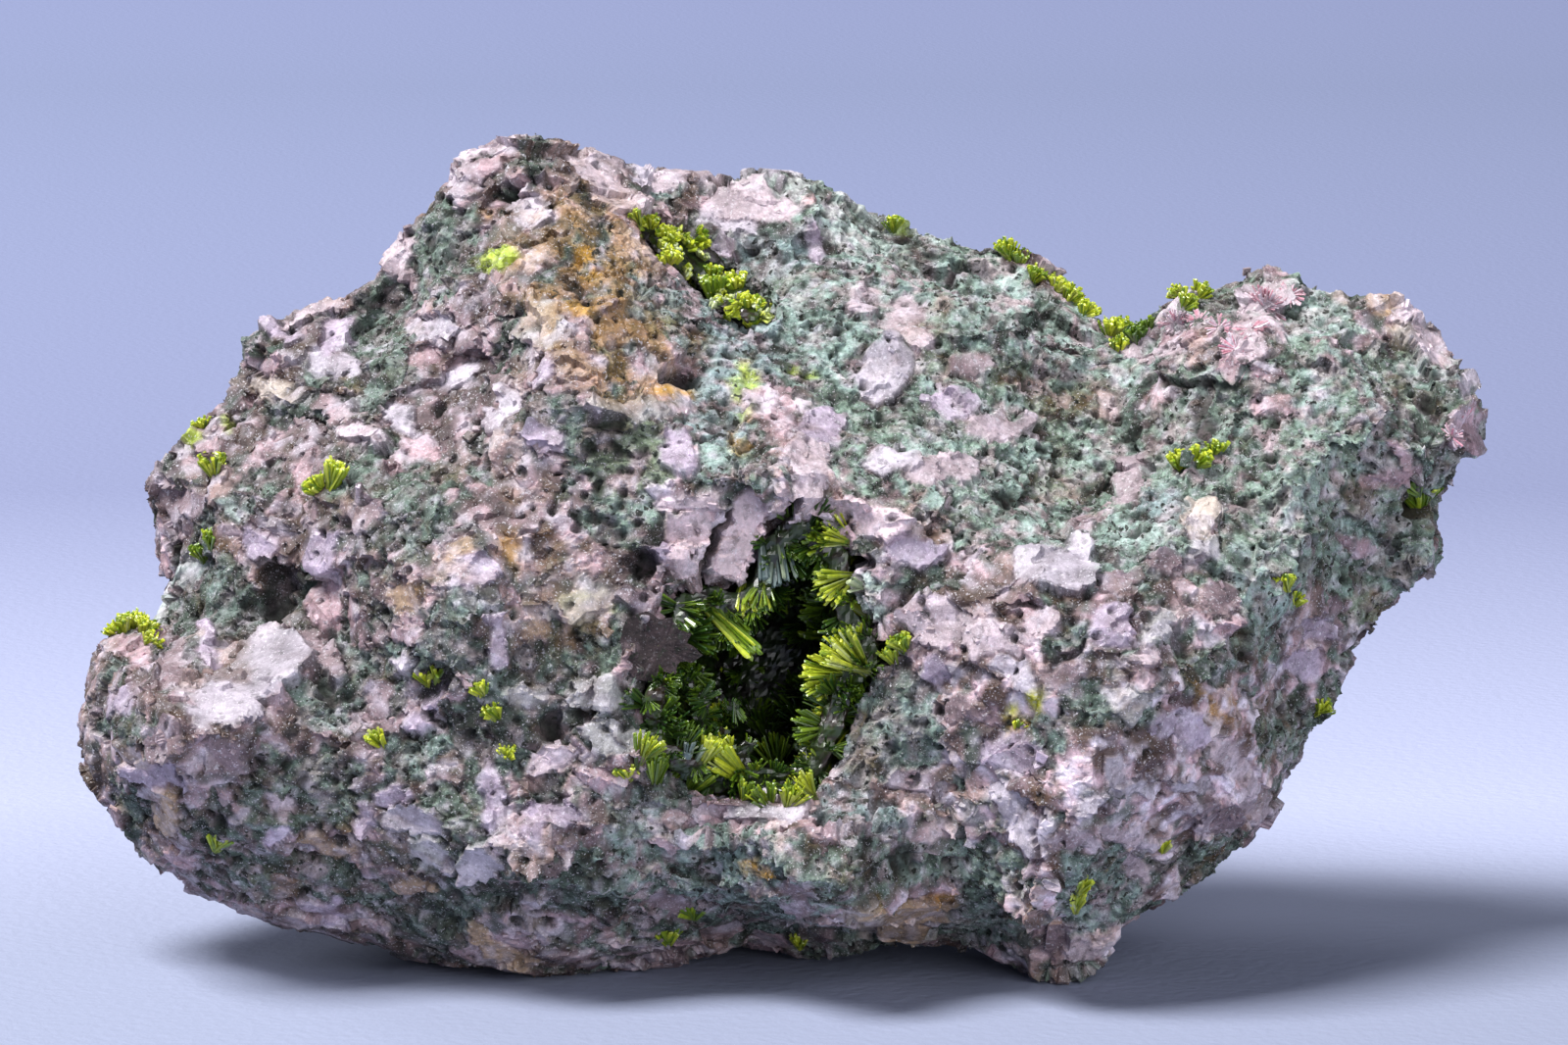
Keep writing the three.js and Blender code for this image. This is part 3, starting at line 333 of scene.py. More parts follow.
POCKET_SPRAYS = [
    (662, 232, 100, 0.50, 1.3, 0.6, 26, 0.90, 0.1), (680, 246, 60, 0.50, 1.4, 0.6, 28, 0.85, 0.1),
    (700, 250, 40, 0.50, 1.4, 0.6, 26, 0.80, 0.2), (684, 268, 80, 0.55, 1.3, 0.5, 24, 0.95, 0.1),
    (712, 246, 20, 0.50, 1.2, 0.6, 20, 0.70, 0.2), (728, 304, 92, 0.45, 2.2, 0.3, 24, 0.60, 0.2),
    (726, 286, 84, 0.45, 1.6, 0.3, 18, 0.75, 0.2), (752, 292, 100, 0.50, 1.4, 0.5, 22, 0.85, 0.2),
    (764, 312, 70, 0.55, 1.4, 0.6, 26, 0.95, 0.1), (780, 322, 50, 0.50, 1.3, 0.6, 24, 0.95, 0.1),
    (766, 330, 100, 0.55, 1.1, 0.6, 22, 0.90, 0.1), (648, 224, 130, 0.50, 1.1, 0.5, 16, 0.80, 0.1),
]
SADDLE_SPRAYS = [
    (1028, 258, 110, 0.40, 1.1, 0.6, 22, 0.70, 0.1), (1040, 268, 80, 0.40, 1.1, 0.6, 24, 0.60, 0.1),
    (1056, 284, 70, 0.45, 1.0, 0.6, 22, 0.70, 0.1), (1078, 296, 60, 0.45, 1.2, 0.6, 28, 0.90, 0.1),
    (1092, 306, 50, 0.45, 1.1, 0.6, 28, 0.80, 0.1), (1108, 320, 60, 0.45, 1.0, 0.6, 28, 0.90, 0.1),
    (1134, 342, 80, 0.45, 1.4, 0.5, 28, 0.95, 0.1), (1144, 340, 60, 0.45, 1.3, 0.5, 24, 0.70, 0.1),
    (1142, 356, 90, 0.50, 1.0, 0.6, 20, 0.85, 0.1), (1160, 346, 100, 0.45, 1.2, 0.5, 24, 0.25, 0.1),
    (1170, 338, 120, 0.45, 1.0, 0.5, 18, 0.30, 0.1),
]
TIP_SPRAYS = [
    (124, 646, 120, 0.40, 1.3, 0.6, 26, 0.85, 0.1), (138, 640, 90, 0.40, 1.3, 0.6, 28, 0.95, 0.1),
    (148, 644, 60, 0.45, 1.1, 0.6, 24, 0.90, 0.1), (152, 656, 50, 0.55, 0.9, 0.6, 18, 0.95, 0.1),
]
NOTCH_SPRAYS = [
    (1448, 518, 110, 0.45, 1.7, 0.45, 26, 0.45, 0.2), (1456, 506, 80, 0.45, 1.2, 0.5, 20, 0.55, 0.2),
    (1444, 500, 120, 0.50, 1.0, 0.5, 14, 0.35, 0.2),
]
TUFT_SPRAYS = [
    (218, 482, 95, 0.45, 1.5, 0.5, 28, 0.90, 0.1), (338, 498, 76, 0.40, 2.2, 0.3, 26, 0.90, 0.1),
    (326, 500, 130, 0.50, 1.3, 0.5, 20, 0.85, 0.1), (218, 556, 80, 0.50, 1.3, 0.5, 22, 0.55, 0.1),
    (206, 566, 110, 0.50, 1.1, 0.5, 16, 0.40, 0.1), (222, 862, 70, 0.50, 1.3, 0.5, 26, 0.65, 0.1),
    (436, 694, 100, 0.55, 1.1, 0.6, 24, 0.85, 0.1), (448, 690, 60, 0.55, 0.9, 0.6, 16, 0.80, 0.1),
    (492, 704, 110, 0.60, 0.9, 0.6, 18, 0.85, 0.1), (504, 728, 130, 0.60, 0.9, 0.6, 16, 0.80, 0.1),
    (388, 758, 130, 0.50, 1.2, 0.4, 20, 0.95, 0.1), (516, 770, 80, 0.60, 0.8, 0.6, 14, 0.85, 0.1),
    (640, 790, 90, 0.60, 0.9, 0.6, 20, 0.80, 0.1), (1206, 476, 90, 0.50, 1.4, 0.6, 28, 0.85, 0.1),
    (1222, 472, 60, 0.50, 1.2, 0.6, 20, 0.80, 0.1), (1240, 462, 80, 0.50, 1.0, 0.5, 16, 0.60, 0.1),
    (1208, 312, 60, 0.45, 1.2, 0.5, 22, 0.80, 0.1), (1204, 294, 140, 0.40, 0.9, 0.5, 14, 0.90, 0.1),
    (1224, 300, 60, 0.50, 1.0, 0.5, 16, 0.70, 0.1), (1098, 924, 90, 0.50, 1.3, 0.4, 26, 0.90, 0.1),
    (1102, 906, 80, 0.50, 1.0, 0.5, 18, 0.85, 0.1), (1186, 862, 90, 0.55, 0.8, 0.6, 14, 0.90, 0.1),
    (1312, 596, 100, 0.50, 1.0, 0.6, 18, 0.85, 0.1), (1320, 614, 80, 0.55, 0.9, 0.6, 16, 0.85, 0.1),
    (1348, 724, 60, 0.50, 0.9, 0.6, 14, 0.80, 0.1), (706, 930, 100, 0.55, 1.0, 0.6, 20, 0.60, 0.1),
    (682, 956, 90, 0.50, 1.1, 0.6, 22, 0.70, 0.1), (816, 962, 90, 0.55, 0.8, 0.6, 14, 0.90, 0.1),
    (912, 230, 90, 0.45, 0.8, 0.6, 16, 0.70, 0.1), (922, 660, 120, 0.50, 1.2, 0.5, 20, 0.70, 0.1),
    (206, 436, 110, 0.45, 0.8, 0.6, 14, 0.80, 0.1), (1040, 740, 60, 0.60, 0.6, 0.6, 10, 0.95, 0.1),
]

# A bladed prism with a chisel tip, and where it is widest
BLADE_RING = [(1.0, 0.0), (0.5, 0.8), (-0.5, 0.8), (-1.0, 0.0), (-0.5, -0.8), (0.5, -0.8)]
BLADE_STATIONS = [(0.0, 0.55), (0.95, 1.0)]

# Colours of the crystals, linear
# The darkest green is painted shade at the crystals' roots, where the blades crowd
GREEN_ROOT_SHADE = np.array([0.010, 0.028, 0.004])
GREEN_DEEP = np.array([0.022, 0.075, 0.006])
GREEN_MID = np.array([0.20, 0.33, 0.012])
GREEN_BRIGHT = np.array([0.72, 0.78, 0.04])
GREEN_PALE = np.array([0.66, 0.74, 0.38])
GREY_BLUE = np.array([0.16, 0.22, 0.22])

# Outline of the dusky plate over the hollow's left edge, in pixels round its middle
FLAKE_MIDDLE = (672, 660)
FLAKE_OUTLINE = [
    (-40, -6), (-32, -30), (-12, -36), (2, -27), (14, -30), (20, -18), (33, -14), (30, -4),
    (46, 8), (33, 16), (22, 14), (16, 28), (2, 24), (-6, 36), (-24, 32), (-34, 18),
]


def linear(tint):
    """A colour of the list above as Blender's linear values"""
    share = np.array(TINTS[tint]) / 255
    return np.where(share <= 0.04045, share / 12.92, ((share + 0.055) / 1.055) ** 2.4)


def smoothstep(value, low, high):
    t = np.clip((value - low) / (high - low), 0, 1)
    return t * t * (3 - 2 * t)


def seen(x, y, height):
    """The point that shows at a pixel of the picture, at a height towards the eye"""
    spread = MM_PER_PIXEL * (1 - height / EYE_DISTANCE)
    side = (x - PICTURE_MIDDLE[0]) * spread
    up = (PICTURE_MIDDLE[1] - y) * spread
    return EYE_TARGET + side * EYE_SIDE + up * EYE_UP + height * TO_EYE


def in_picture(points):
    """The pixels at which points show"""
    away = points - EYE_TARGET
    spread = MM_PER_PIXEL * (1 - away @ TO_EYE / EYE_DISTANCE)
    x = PICTURE_MIDDLE[0] + away @ EYE_SIDE / spread
    y = PICTURE_MIDDLE[1] - away @ EYE_UP / spread
    return x, y


def hashed(i, j, k, seed):
    """Even random values from 0 to 1 for whole numbers"""
    mask = 0xFFFFFFFF
    h = (i * 374761393 + j * 668265263 + k * 1440662683 + seed * 974711) & mask
    h = ((h ^ (h >> 13)) * 1274126177) & mask
    h = ((h ^ (h >> 15)) * 668265263) & mask
    return (h ^ (h >> 16)) / (mask + 1.0)


def noise(points, size, seed):
    """Smooth noise from -1 to 1"""
    whole = np.floor(points / size).astype(np.int64)
    part = points / size - whole
    ease = part * part * (3 - 2 * part)
    total = np.zeros(len(points))
    for corner in range(8):
        d = ((corner >> 2) & 1, (corner >> 1) & 1, corner & 1)
        weight = np.ones(len(points))
        for axis in range(3):
            weight *= ease[:, axis] if d[axis] else 1 - ease[:, axis]
        total += weight * hashed(whole[:, 0] + d[0], whole[:, 1] + d[1], whole[:, 2] + d[2], seed)
    return total * 2 - 1


def fractal(points, size, octaves, seed):
    total = np.zeros(len(points))
    for k in range(octaves):
        total += noise(points, size / 2**k, seed + k) / 2**k
    return total


def cells(points, size, seed):
    """Scattered grains: distance to the nearest and next centre, the nearest one's number and place"""
    whole = np.floor(points / size).astype(np.int64)
    nearest = np.full(len(points), 1e9)
    second = np.full(len(points), 1e9)
    number = np.zeros(len(points), np.int64)
    centre = np.zeros_like(points)
    for step in np.ndindex(3, 3, 3):
        i, j, k = (whole[:, axis] + step[axis] - 1 for axis in range(3))
        place = np.stack(
            [
                (i + hashed(i, j, k, seed)) * size,
                (j + hashed(i, j, k, seed + 1)) * size,
                (k + hashed(i, j, k, seed + 2)) * size,
            ],
            axis=1,
        )
        far = np.sqrt(((points - place) ** 2).sum(1))
        closer = far < nearest
        second = np.where(closer, nearest, np.minimum(second, far))
        nearest = np.where(closer, far, nearest)
        number = np.where(closer, ((i + 500) * 1000 + j + 500) * 1000 + k + 500, number)
        centre[closer] = place[closer]
    return nearest, second, number, centre


def ellipse(x, y, feature, power=2.0):
    """How far pixels are from a listed patch's middle: 1 is on its edge"""
    angle = math.radians(feature[4])
    dx = x - feature[0]
    dy = y - feature[1]
    long = (dx * math.cos(angle) + dy * math.sin(angle)) / feature[2]
    wide = (dy * math.cos(angle) - dx * math.sin(angle)) / feature[3]
    return (np.abs(long) ** power + np.abs(wide) ** power) ** (1 / power)


def patches(features, pixels, reach, shown, power=2.0):
    """Each listed patch with its number, the points round it, and how far they are from its middle"""
    x, y, uneven_x, uneven_y = pixels
    for index, feature in enumerate(features):
        near = (np.abs(x - feature[0]) < reach) & (np.abs(y - feature[1]) < reach)
        spot = np.flatnonzero(near & shown)
        yield index, feature, spot, ellipse(uneven_x[spot], uneven_y[spot], feature, power)


def remeshed(node, voxel):
    """A CAD node's surface as even quads: places in mm, and faces"""
    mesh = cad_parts[node].data.copy()
    mesh.transform(Matrix.Scale(1 / MM, 4))
    holder = bpy.data.objects.new("remeshing", mesh)
    bpy.context.scene.collection.objects.link(holder)
    even = holder.modifiers.new("even", "REMESH")
    even.mode = "VOXEL"
    even.voxel_size = voxel
    shown = holder.evaluated_get(bpy.context.evaluated_depsgraph_get())
    made = bpy.data.meshes.new_from_object(shown)
    places = np.zeros(len(made.vertices) * 3)
    made.vertices.foreach_get("co", places)
    corners = np.zeros(len(made.loops), np.int64)
    made.loops.foreach_get("vertex_index", corners)
    bpy.data.objects.remove(holder)
    bpy.data.meshes.remove(made)
    bpy.data.meshes.remove(mesh)
    return places.reshape(-1, 3), corners.reshape(-1, 4)


def spread_over(count, index, values):
    """Sums values at the numbered places"""
    return np.stack([np.bincount(index, values[:, axis], count) for axis in range(3)], axis=1)


def edges_of(quads):
    return np.concatenate([quads[:, [k, (k + 1) % 4]] for k in range(4)])


def smoothed(places, quads, times):
    ends = edges_of(quads)
    index = np.concatenate([ends[:, 0], ends[:, 1]])
    count = np.bincount(index, minlength=len(places))[:, None]
    for _ in range(times):
        others = np.concatenate([places[ends[:, 1]], places[ends[:, 0]]])
        places = places * 0.4 + 0.6 * spread_over(len(places), index, others) / count
    return places


def normals_of(places, quads):
    flat = np.cross(places[quads[:, 2]] - places[quads[:, 0]], places[quads[:, 3]] - places[quads[:, 1]])
    total = spread_over(len(places), quads.ravel(), np.repeat(flat, 4, axis=0))
    return total / np.maximum(np.linalg.norm(total, axis=1), 1e-12)[:, None]


def new_mesh(name, places, corners, sides, colours, gloss):
    """A mesh in metres with colour and gloss at its points"""
    mesh = bpy.data.meshes.new(name)
    faces = len(corners) // sides
    mesh.vertices.add(len(places))
    mesh.vertices.foreach_set("co", (places * MM).astype(np.float32).ravel())
    mesh.loops.add(len(corners))
    mesh.loops.foreach_set("vertex_index", corners.astype(np.int32))
    mesh.polygons.add(faces)
    mesh.polygons.foreach_set("loop_start", np.arange(faces, dtype=np.int32) * sides)
    mesh.update(calc_edges=True)
    mesh.validate()
    rgba = np.concatenate([np.clip(colours, 0, 1), np.ones((len(places), 1))], axis=1)
    tint = mesh.color_attributes.new("tint", "FLOAT_COLOR", "POINT")
    tint.data.foreach_set("color", rgba.astype(np.float32).ravel())
    shine = mesh.attributes.new("shine", "FLOAT", "POINT")
    shine.data.foreach_set("value", gloss.astype(np.float32))
    return mesh


def new_piece(name, places, corners, sides, colours, gloss, material, nodes=()):
    """A mesh as a piece of the specimen, which rides on the part"""
    mesh = new_mesh(name, places, corners, sides, colours, gloss)
    mesh.shade_flat()
    mesh.materials.append(material)
    piece = bpy.data.objects.new(name, mesh)
    bpy.context.scene.collection.objects.link(piece)
    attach(piece, "root")
    if nodes:
        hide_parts(*nodes)


class Shading:
    """A material whose nodes are added and linked one by one"""

    def __init__(self, name):
        self.material = bpy.data.materials.new(name)
        self.material.use_nodes = True
        self.shader = self.material.node_tree.nodes["Principled BSDF"]
        self.where = self.add("TexCoord").outputs["Object"]

    def add(self, kind, operation=None):
        made = self.material.node_tree.nodes.new("ShaderNode" + kind)
        if operation:
            made.operation = operation
        return made

    def feed(self, socket, value):
        """Gives a socket a value, or links it to another node's output"""
        if isinstance(value, bpy.types.NodeSocket):
            self.material.node_tree.links.new(value, socket)
        else:
            socket.default_value = value

    def attribute(self, name, output):
        made = self.add("Attribute")
        made.attribute_name = name
        return made.outputs[output]

    def noise(self, scale, detail, roughness, output="Fac"):
        made = self.add("TexNoise")
        self.feed(made.inputs["Vector"], self.where)
        for name, value in (("Scale", scale), ("Detail", detail), ("Roughness", roughness)):
            self.feed(made.inputs[name], value)
        return made.outputs[output]

    def spanned(self, source, low, high, first, last):
        """Maps low..high to first..last"""
        made = self.add("MapRange")
        names = ("Value", "From Min", "From Max", "To Min", "To Max")
        for name, value in zip(names, (source, low, high, first, last)):
            self.feed(made.inputs[name], value)
        return made.outputs["Result"]

    def scaled(self, colour, strength):
        made = self.add("VectorMath", "SCALE")
        self.feed(made.inputs[0], colour)
        self.feed(made.inputs["Scale"], strength)
        return made.outputs["Vector"]

    def product(self, first, second):
        made = self.add("Math", "MULTIPLY")
        self.feed(made.inputs[0], first)
        self.feed(made.inputs[1], second)
        return made.outputs["Value"]

    def blended(self, share, first, second):
        made = self.add("Mix")
        made.data_type = "RGBA"
        self.feed(made.inputs["Factor"], share)
        ports = [socket for socket in made.inputs if socket.type == "RGBA"]
        self.feed(ports[0], first)
        self.feed(ports[1], second)
        return [socket for socket in made.outputs if socket.type == "RGBA"][0]

    def bump(self, height, strength, distance):
        made = self.add("Bump")
        for name, value in (("Height", height), ("Strength", strength), ("Distance", distance)):
            self.feed(made.inputs[name], value)
        self.feed(self.shader.inputs["Normal"], made.outputs["Normal"])


def rock_material():
    """Colour and gloss from the mesh, with finer specks that partly paint shade into the surface's dips,
    holes painted dark as shade, flecks and painted sparkle highlights, and a fine rough surface
    """
    build = Shading("matrix")
    shine = build.attribute("shine", "Fac")
    speck = build.noise(2600, 6.0, 0.78)
    # Painted shade, partly: the specks darken the colour where the bump dips, most strongly in the dull
    # chlorite
    least = build.spanned(shine, 0.3, 0.78, 0.34, 0.68)
    most = build.spanned(shine, 0.3, 0.78, 1.6, 1.28)
    strength = build.spanned(speck, 0.33, 0.68, least, most)
    shown = build.scaled(build.attribute("tint", "Color"), strength)

    # Small ragged holes painted near black as their shade, most of them in the dull chlorite
    ragged = build.add("VectorMath", "MULTIPLY_ADD")
    build.feed(ragged.inputs[0], build.noise(2400, 2.0, 0.5, "Color"))
    build.feed(ragged.inputs[1], (0.0007, 0.0007, 0.0007))
    build.feed(ragged.inputs[2], build.where)
    hole = build.add("TexVoronoi")
    build.feed(hole.inputs["Scale"], 1800)
    build.feed(hole.inputs["Vector"], ragged.outputs["Vector"])
    dull = build.spanned(shine, 0.1, 0.5, 1.0, 0.4)
    holed = build.product(build.spanned(build.noise(800, 3.0, 0.6), 0.38, 0.5, 0.0, 1.0), dull)
    holes = build.product(build.spanned(hole.outputs["Distance"], 0.24, 0.33, 0.97, 0.0), holed)
    shown = build.blended(holes, shown, (0.018, 0.02, 0.014, 1))

    # White flecks, and finer sparkles painted as highlights, but none in a pit, which keeps its painted
    # shade
    open_rock = build.spanned(shine, 0.03, 0.12, 0.0, 1.0)
    for scale, detail, roughness, low, high, strongest, colour in (
        (3300, 4.0, 0.6, 0.6, 0.68, 0.5, (0.62, 0.60, 0.66, 1)),
        (9000, 2.0, 0.5, 0.635, 0.7, 0.62, (0.85, 0.82, 0.88, 1)),
    ):
        flecks = build.spanned(build.noise(scale, detail, roughness), low, high, 0.0, strongest)
        shown = build.blended(build.product(flecks, open_rock), shown, colour)
    build.feed(build.shader.inputs["Base Color"], shown)
    build.feed(build.shader.inputs["Roughness"], build.spanned(shine, 0.0, 1.0, 0.95, 0.2))
    build.bump(speck, build.spanned(shine, 0.3, 0.78, 0.9, 0.25), 0.00026)
    return build.material


def crystal_material():
    """Translucent clinozoisite: colour from the mesh, faintly mottled, and glassy faces"""
    build = Shading("clinozoisite")
    strength = build.spanned(build.noise(3800, 3.0, 0.5), 0.0, 1.0, 0.35, 1.6)
    tinted = build.scaled(build.attribute("tint", "Color"), strength)
    build.feed(build.shader.inputs["Base Color"], tinted)
    for name, value in (("Roughness", 0.34), ("IOR", 1.7), ("Transmission Weight", 0.15)):
        build.feed(build.shader.inputs[name], value)
    return build.material


def grouped_planes(places, normals, group, seed, tilt):
    """Moves that lay each group of points on its own plane, along the normals"""
    names, member = np.unique(group, return_inverse=True)
    count = len(names)
    amount = np.bincount(member, minlength=count)[:, None]
    middle = spread_over(count, member, places) / amount
    facing = spread_over(count, member, normals)
    facing /= np.maximum(np.linalg.norm(facing, axis=1), 1e-9)[:, None]
    lean = np.stack([hashed(names, names * 0 + k, names * 0, seed) - 0.5 for k in range(3)], axis=1)
    facing += lean * 2 * tilt
    facing /= np.linalg.norm(facing, axis=1)[:, None]
    along = np.maximum((normals * facing[member]).sum(1), 0.5)
    move = ((middle[member] - places) * facing[member]).sum(1) / along
    return move, names, member, middle


def ramp(share, tints):
    """Colours evenly along a list of tints, for shares from 0 to 1"""
    stops = np.linspace(0, 1, len(tints))
    table = np.array([linear(tint) for tint in tints])
    return np.stack([np.interp(share, stops, table[:, k]) for k in range(3)], axis=1)


def mixed(colours, other, share):
    return colours * (1 - share[:, None]) + other * share[:, None]


def grain_value(numbers, seed):
    """A random value from 0 to 1 for each grain"""
    return hashed(numbers, numbers * 0, numbers * 0, seed)


def listed_grains(pixels, front):
    """The listed feldspar grain that each point lies in, and how surely"""
    listed = np.full(len(front), -1)
    surely = np.zeros(len(front))
    for index, feature, spot, far in patches(FELDSPAR, pixels, 90, front > 0.3, 2.4):
        share = (1 - smoothstep(far, 0.72, 1.2)) * min(1, 0.66 + feature[6])
        listed[spot] = np.where(share > surely[spot], index, listed[spot])
        surely[spot] = np.maximum(surely[spot], share)
    return listed, surely


def chlorite_grains(base, normals, natural, front):
    """Whether each point lies in a grain of chlorite, and that grain's green"""
    _, names, member, middle = grouped_planes(base, normals, natural, 60, 0.2)
    x, y = in_picture(middle)
    facing = np.bincount(member, front, len(names)) / np.bincount(member, minlength=len(names))
    chance = 0.38 + 0.24 * fractal(middle, 5.0, 2, 70) + 0.34 * (grain_value(names, 71) - 0.5)
    strongest = np.zeros(len(names))
    kinds = ["sage", "teal", "deep", "sage"]
    pick = np.floor(grain_value(names + 3, 72) * 4).astype(int)
    green = np.array([linear(kind) for kind in kinds])[pick]
    for feature in CHLORITE:
        near = 1 - smoothstep(ellipse(x, y, feature), 0.75, 1.25)
        near = near * feature[6] * (facing > 0.3)
        chance += near
        stronger = (near > strongest) & (feature[6] > 0.5)
        green = np.where(stronger[:, None], linear(feature[5]), green)
        strongest = np.maximum(strongest, near)
    return (chance > 0.5)[member], green[member]


def scattered_pits(base, green_at, smooth_blade):
    """Small pits at random, more of them in chlorite and none in smooth blades"""
    pit = np.zeros(len(base))
    for size, rarity, seed in ((1.5, 0.84, 90), (0.85, 0.7, 95)):
        near, _, hole, _ = cells(base, size, seed)
        reach = size * (0.14 + 0.2 * grain_value(hole + 1, seed))
        wanted = np.where(green_at, rarity - 0.32, rarity)
        chosen = (grain_value(hole, seed) > wanted) * (1 - smooth_blade)
        pit = np.maximum(pit, (1 - smoothstep(near, reach * 0.5, reach * 1.3)) * chosen)
    return pit


def chlorite_colours(base, warped, natural, grain, crumb, green, brightness):
    """Crumbs of green, pale on their tops and darker in the gaps between them, partly their own mottling and
    partly painted shade, with pink grains and white flakes
    """
    # Painted shade: where the skin sinks between the crumbs, the green grows darker towards night, over its
    # own mottling
    crust_and_gap_shade = 0.5 + 0.42 * fractal(base, 0.42, 3, 110) + 0.5 * crumb + 0.2 * fractal(base, 2.5, 2, 113)
    crust_and_gap_shade = 0.5 + (crust_and_gap_shade - 0.5) * 1.3
    leaf = ramp(crust_and_gap_shade, ["night", "deep", "sage", "teal", "pale"]) * 0.5
    leaf += green * 0.6 * smoothstep(crust_and_gap_shade, 0.1, 0.7)[:, None]
    rosy = smoothstep(fractal(warped, 0.7, 4, 116), 0.08, 0.36) * (0.56 + 0.3 * noise(base, 6.0, 119))
    blush = ramp(grain_value(natural, 118), ["pinkwhite", "pink", "mauve"])
    leaf = mixed(leaf, blush * (0.5 + 0.6 * np.clip(crust_and_gap_shade, 0, 1))[:, None], rosy)
    leaf *= brightness[:, None]
    flake = smoothstep(grain_value(grain, 114), 0.86, 0.9) * smoothstep(crust_and_gap_shade, 0.3, 0.6)
    return mixed(leaf, linear("white") * 0.9, 0.6 * flake)


def stained(base, pixels, front, colours):
    """The colours with the listed iron stains over them"""
    for _, feature, spot, far in patches(STAINS, pixels, 130, front > 0.2):
        patch = 1 - smoothstep(far, 0.5, 1.2)
        blotch = smoothstep(fractal(base[spot], 1.0, 3, 120) + 0.8 * feature[6], 0.0, 0.8)
        stain = linear(feature[5]) * (0.42 + 1.1 * colours[spot].mean(1) ** 0.5)[:, None]
        colours[spot] = mixed(colours[spot], stain, patch * blotch * feature[6])
    return colours


def rock_skin():
    """The broken rock: grains of feldspar on planes of their own, crumbly chlorite, pits and stains"""
    base, quads = remeshed("matrix_rock", VOXEL)
    base = smoothed(base, quads, 3 if VOXEL < 0.3 else 1)
    normals = normals_of(base, quads)
    count = len(base)
    facing_eye = normals @ TO_EYE
    front = smoothstep(facing_eye, -0.25, 0.1)
    x, y = in_picture(base)
    wx = x + 7 * noise(base, 1.3, 11) + 5 * noise(base, 0.45, 12)
    wy = y + 7 * noise(base, 1.3, 13) + 5 * noise(base, 0.45, 14)
    pixels = (x, y, wx, wy)
    warped = base + 0.3 * np.stack([fractal(base, 0.9, 2, 20 + 4 * k) for k in range(3)], axis=1)

    # Which grain each point belongs to: small ones, bigger blocky ones, and the listed ones
    _, _, small, _ = cells(warped, 0.95, 30)
    _, _, large, _ = cells(warped * np.array([1, 1, 1.4]), 2.4, 40)
    blocky = grain_value(large, 5) < 0.42
    natural = np.where(blocky, large + 10**9, small)
    listed, given_share = listed_grains(pixels, front)
    is_listed = given_share > 0.4
    group = np.where(is_listed, -10 - listed, natural)
    move, _, member, _ = grouped_planes(base, normals, group, 60, 0.2)
    _, _, block, _ = cells(warped * np.array([1, 1, 1.25]), 4.6, 50)
    step = grouped_planes(base, normals, block, 61, 0.13)[0]

    natural_green, green = chlorite_grains(base, normals, natural, front)
    green_at = natural_green & ~is_listed

    # Shape
    granule, _, grain, _ = cells(base, 0.46, 80)
    crumb = 0.28 - granule
    limit = np.where(green_at, 0.12, 0.4)
    step = np.clip(step, -0.4, 0.4) * (0.4 + 0.6 * smoothstep(facing_eye, 0, 0.5))
    out = np.clip(move, -limit, limit) + step
    rise = np.array([feature[6] for feature in FELDSPAR])
    lift = np.where(is_listed, rise[np.clip(listed, 0, len(rise) - 1)], 0.1)
    smooth_blade = (is_listed & (lift > 0.45)) * 0.8
    crumbly = -0.12 + 0.5 * crumb + 0.1 * fractal(base, 0.5, 2, 81)
    flaky = 0.5 * lift + 0.06 * (1 - smooth_blade) * noise(base, 0.4, 83)
    out += np.where(green_at, crumbly, flaky) + 0.22 * fractal(base, 3.2, 2, 82)
    ends = edges_of(quads)
    different = member[ends[:, 0]] != member[ends[:, 1]]
    border = np.zeros(count)
    border[ends[different].ravel()] = 1
    border *= smoothstep(noise(base, 1.2, 84), -0.5, 0.3)
    out -= 0.1 * border
    pit = scattered_pits(base, green_at, smooth_blade)
    out -= 0.36 * pit
    for _, feature, spot, far in patches(PITS, pixels, 80, front > 0.2):
        deep = 1 - smoothstep(far, 0.6, 1.15)
        out[spot] = out[spot] * (1 - 0.5 * deep) - feature[5] * deep
        pit[spot] = np.maximum(pit[spot], deep * min(1, 0.75 + feature[5] / 6))
    places = base + normals * out[:, None]

    # Feldspar's colour: cloudy from dusky mauve to white, each grain a shade of its own
    cloud = fractal(warped, 1.1, 4, 100)
    own = grain_value(natural, 101)
    shade = 0.35 + 0.46 * cloud + 0.46 * (own - 0.5) + 0.14 * fractal(base, 6.0, 2, 102)
    low_right = smoothstep(x, 900, 1080) * smoothstep(y, 600, 760) * front
    shade += (0.12 + 0.5 * low_right) * fractal(base, 2.0, 3, 150)
    along = np.stack([grain_value(large, 130 + k) - 0.5 for k in range(3)], axis=1)
    along /= np.linalg.norm(along, axis=1)[:, None]
    drawn_out = base - 0.72 * (base * along).sum(1)[:, None] * along
    wisp = smoothstep(fractal(drawn_out, 0.62, 4, 133) + 0.3 * cloud, 0.12, 0.62)
    rose = ramp(shade, ["flake", "dusk", "mauve", "pink", "pinkwhite", "white", "white"])
    tan = smoothstep(fractal(base, 3.0, 2, 103) + 0.6 * (grain_value(natural, 104) - 0.5), 0.0, 0.8)
    rose = mixed(rose, linear("tan") * (0.3 + 0.9 * np.clip(shade, 0, 1))[:, None], 0.38 * tan)
    mottle = fractal(warped, 0.75, 3, 106) + 0.3 * noise(base, 5.0, 107)
    mottle = smoothstep(mottle, 0.04, 0.42) * 0.88
    dark = np.where((noise(base, 3.0, 108) > -0.1)[:, None], linear("deep") * 0.8, linear("earth") * 0.8)
    rose = mixed(rose, dark, mottle)
    rose = mixed(rose, linear("white"), np.clip(0.78 + 0.2 * low_right, 0, 1) * wisp * (1 - 0.7 * mottle))

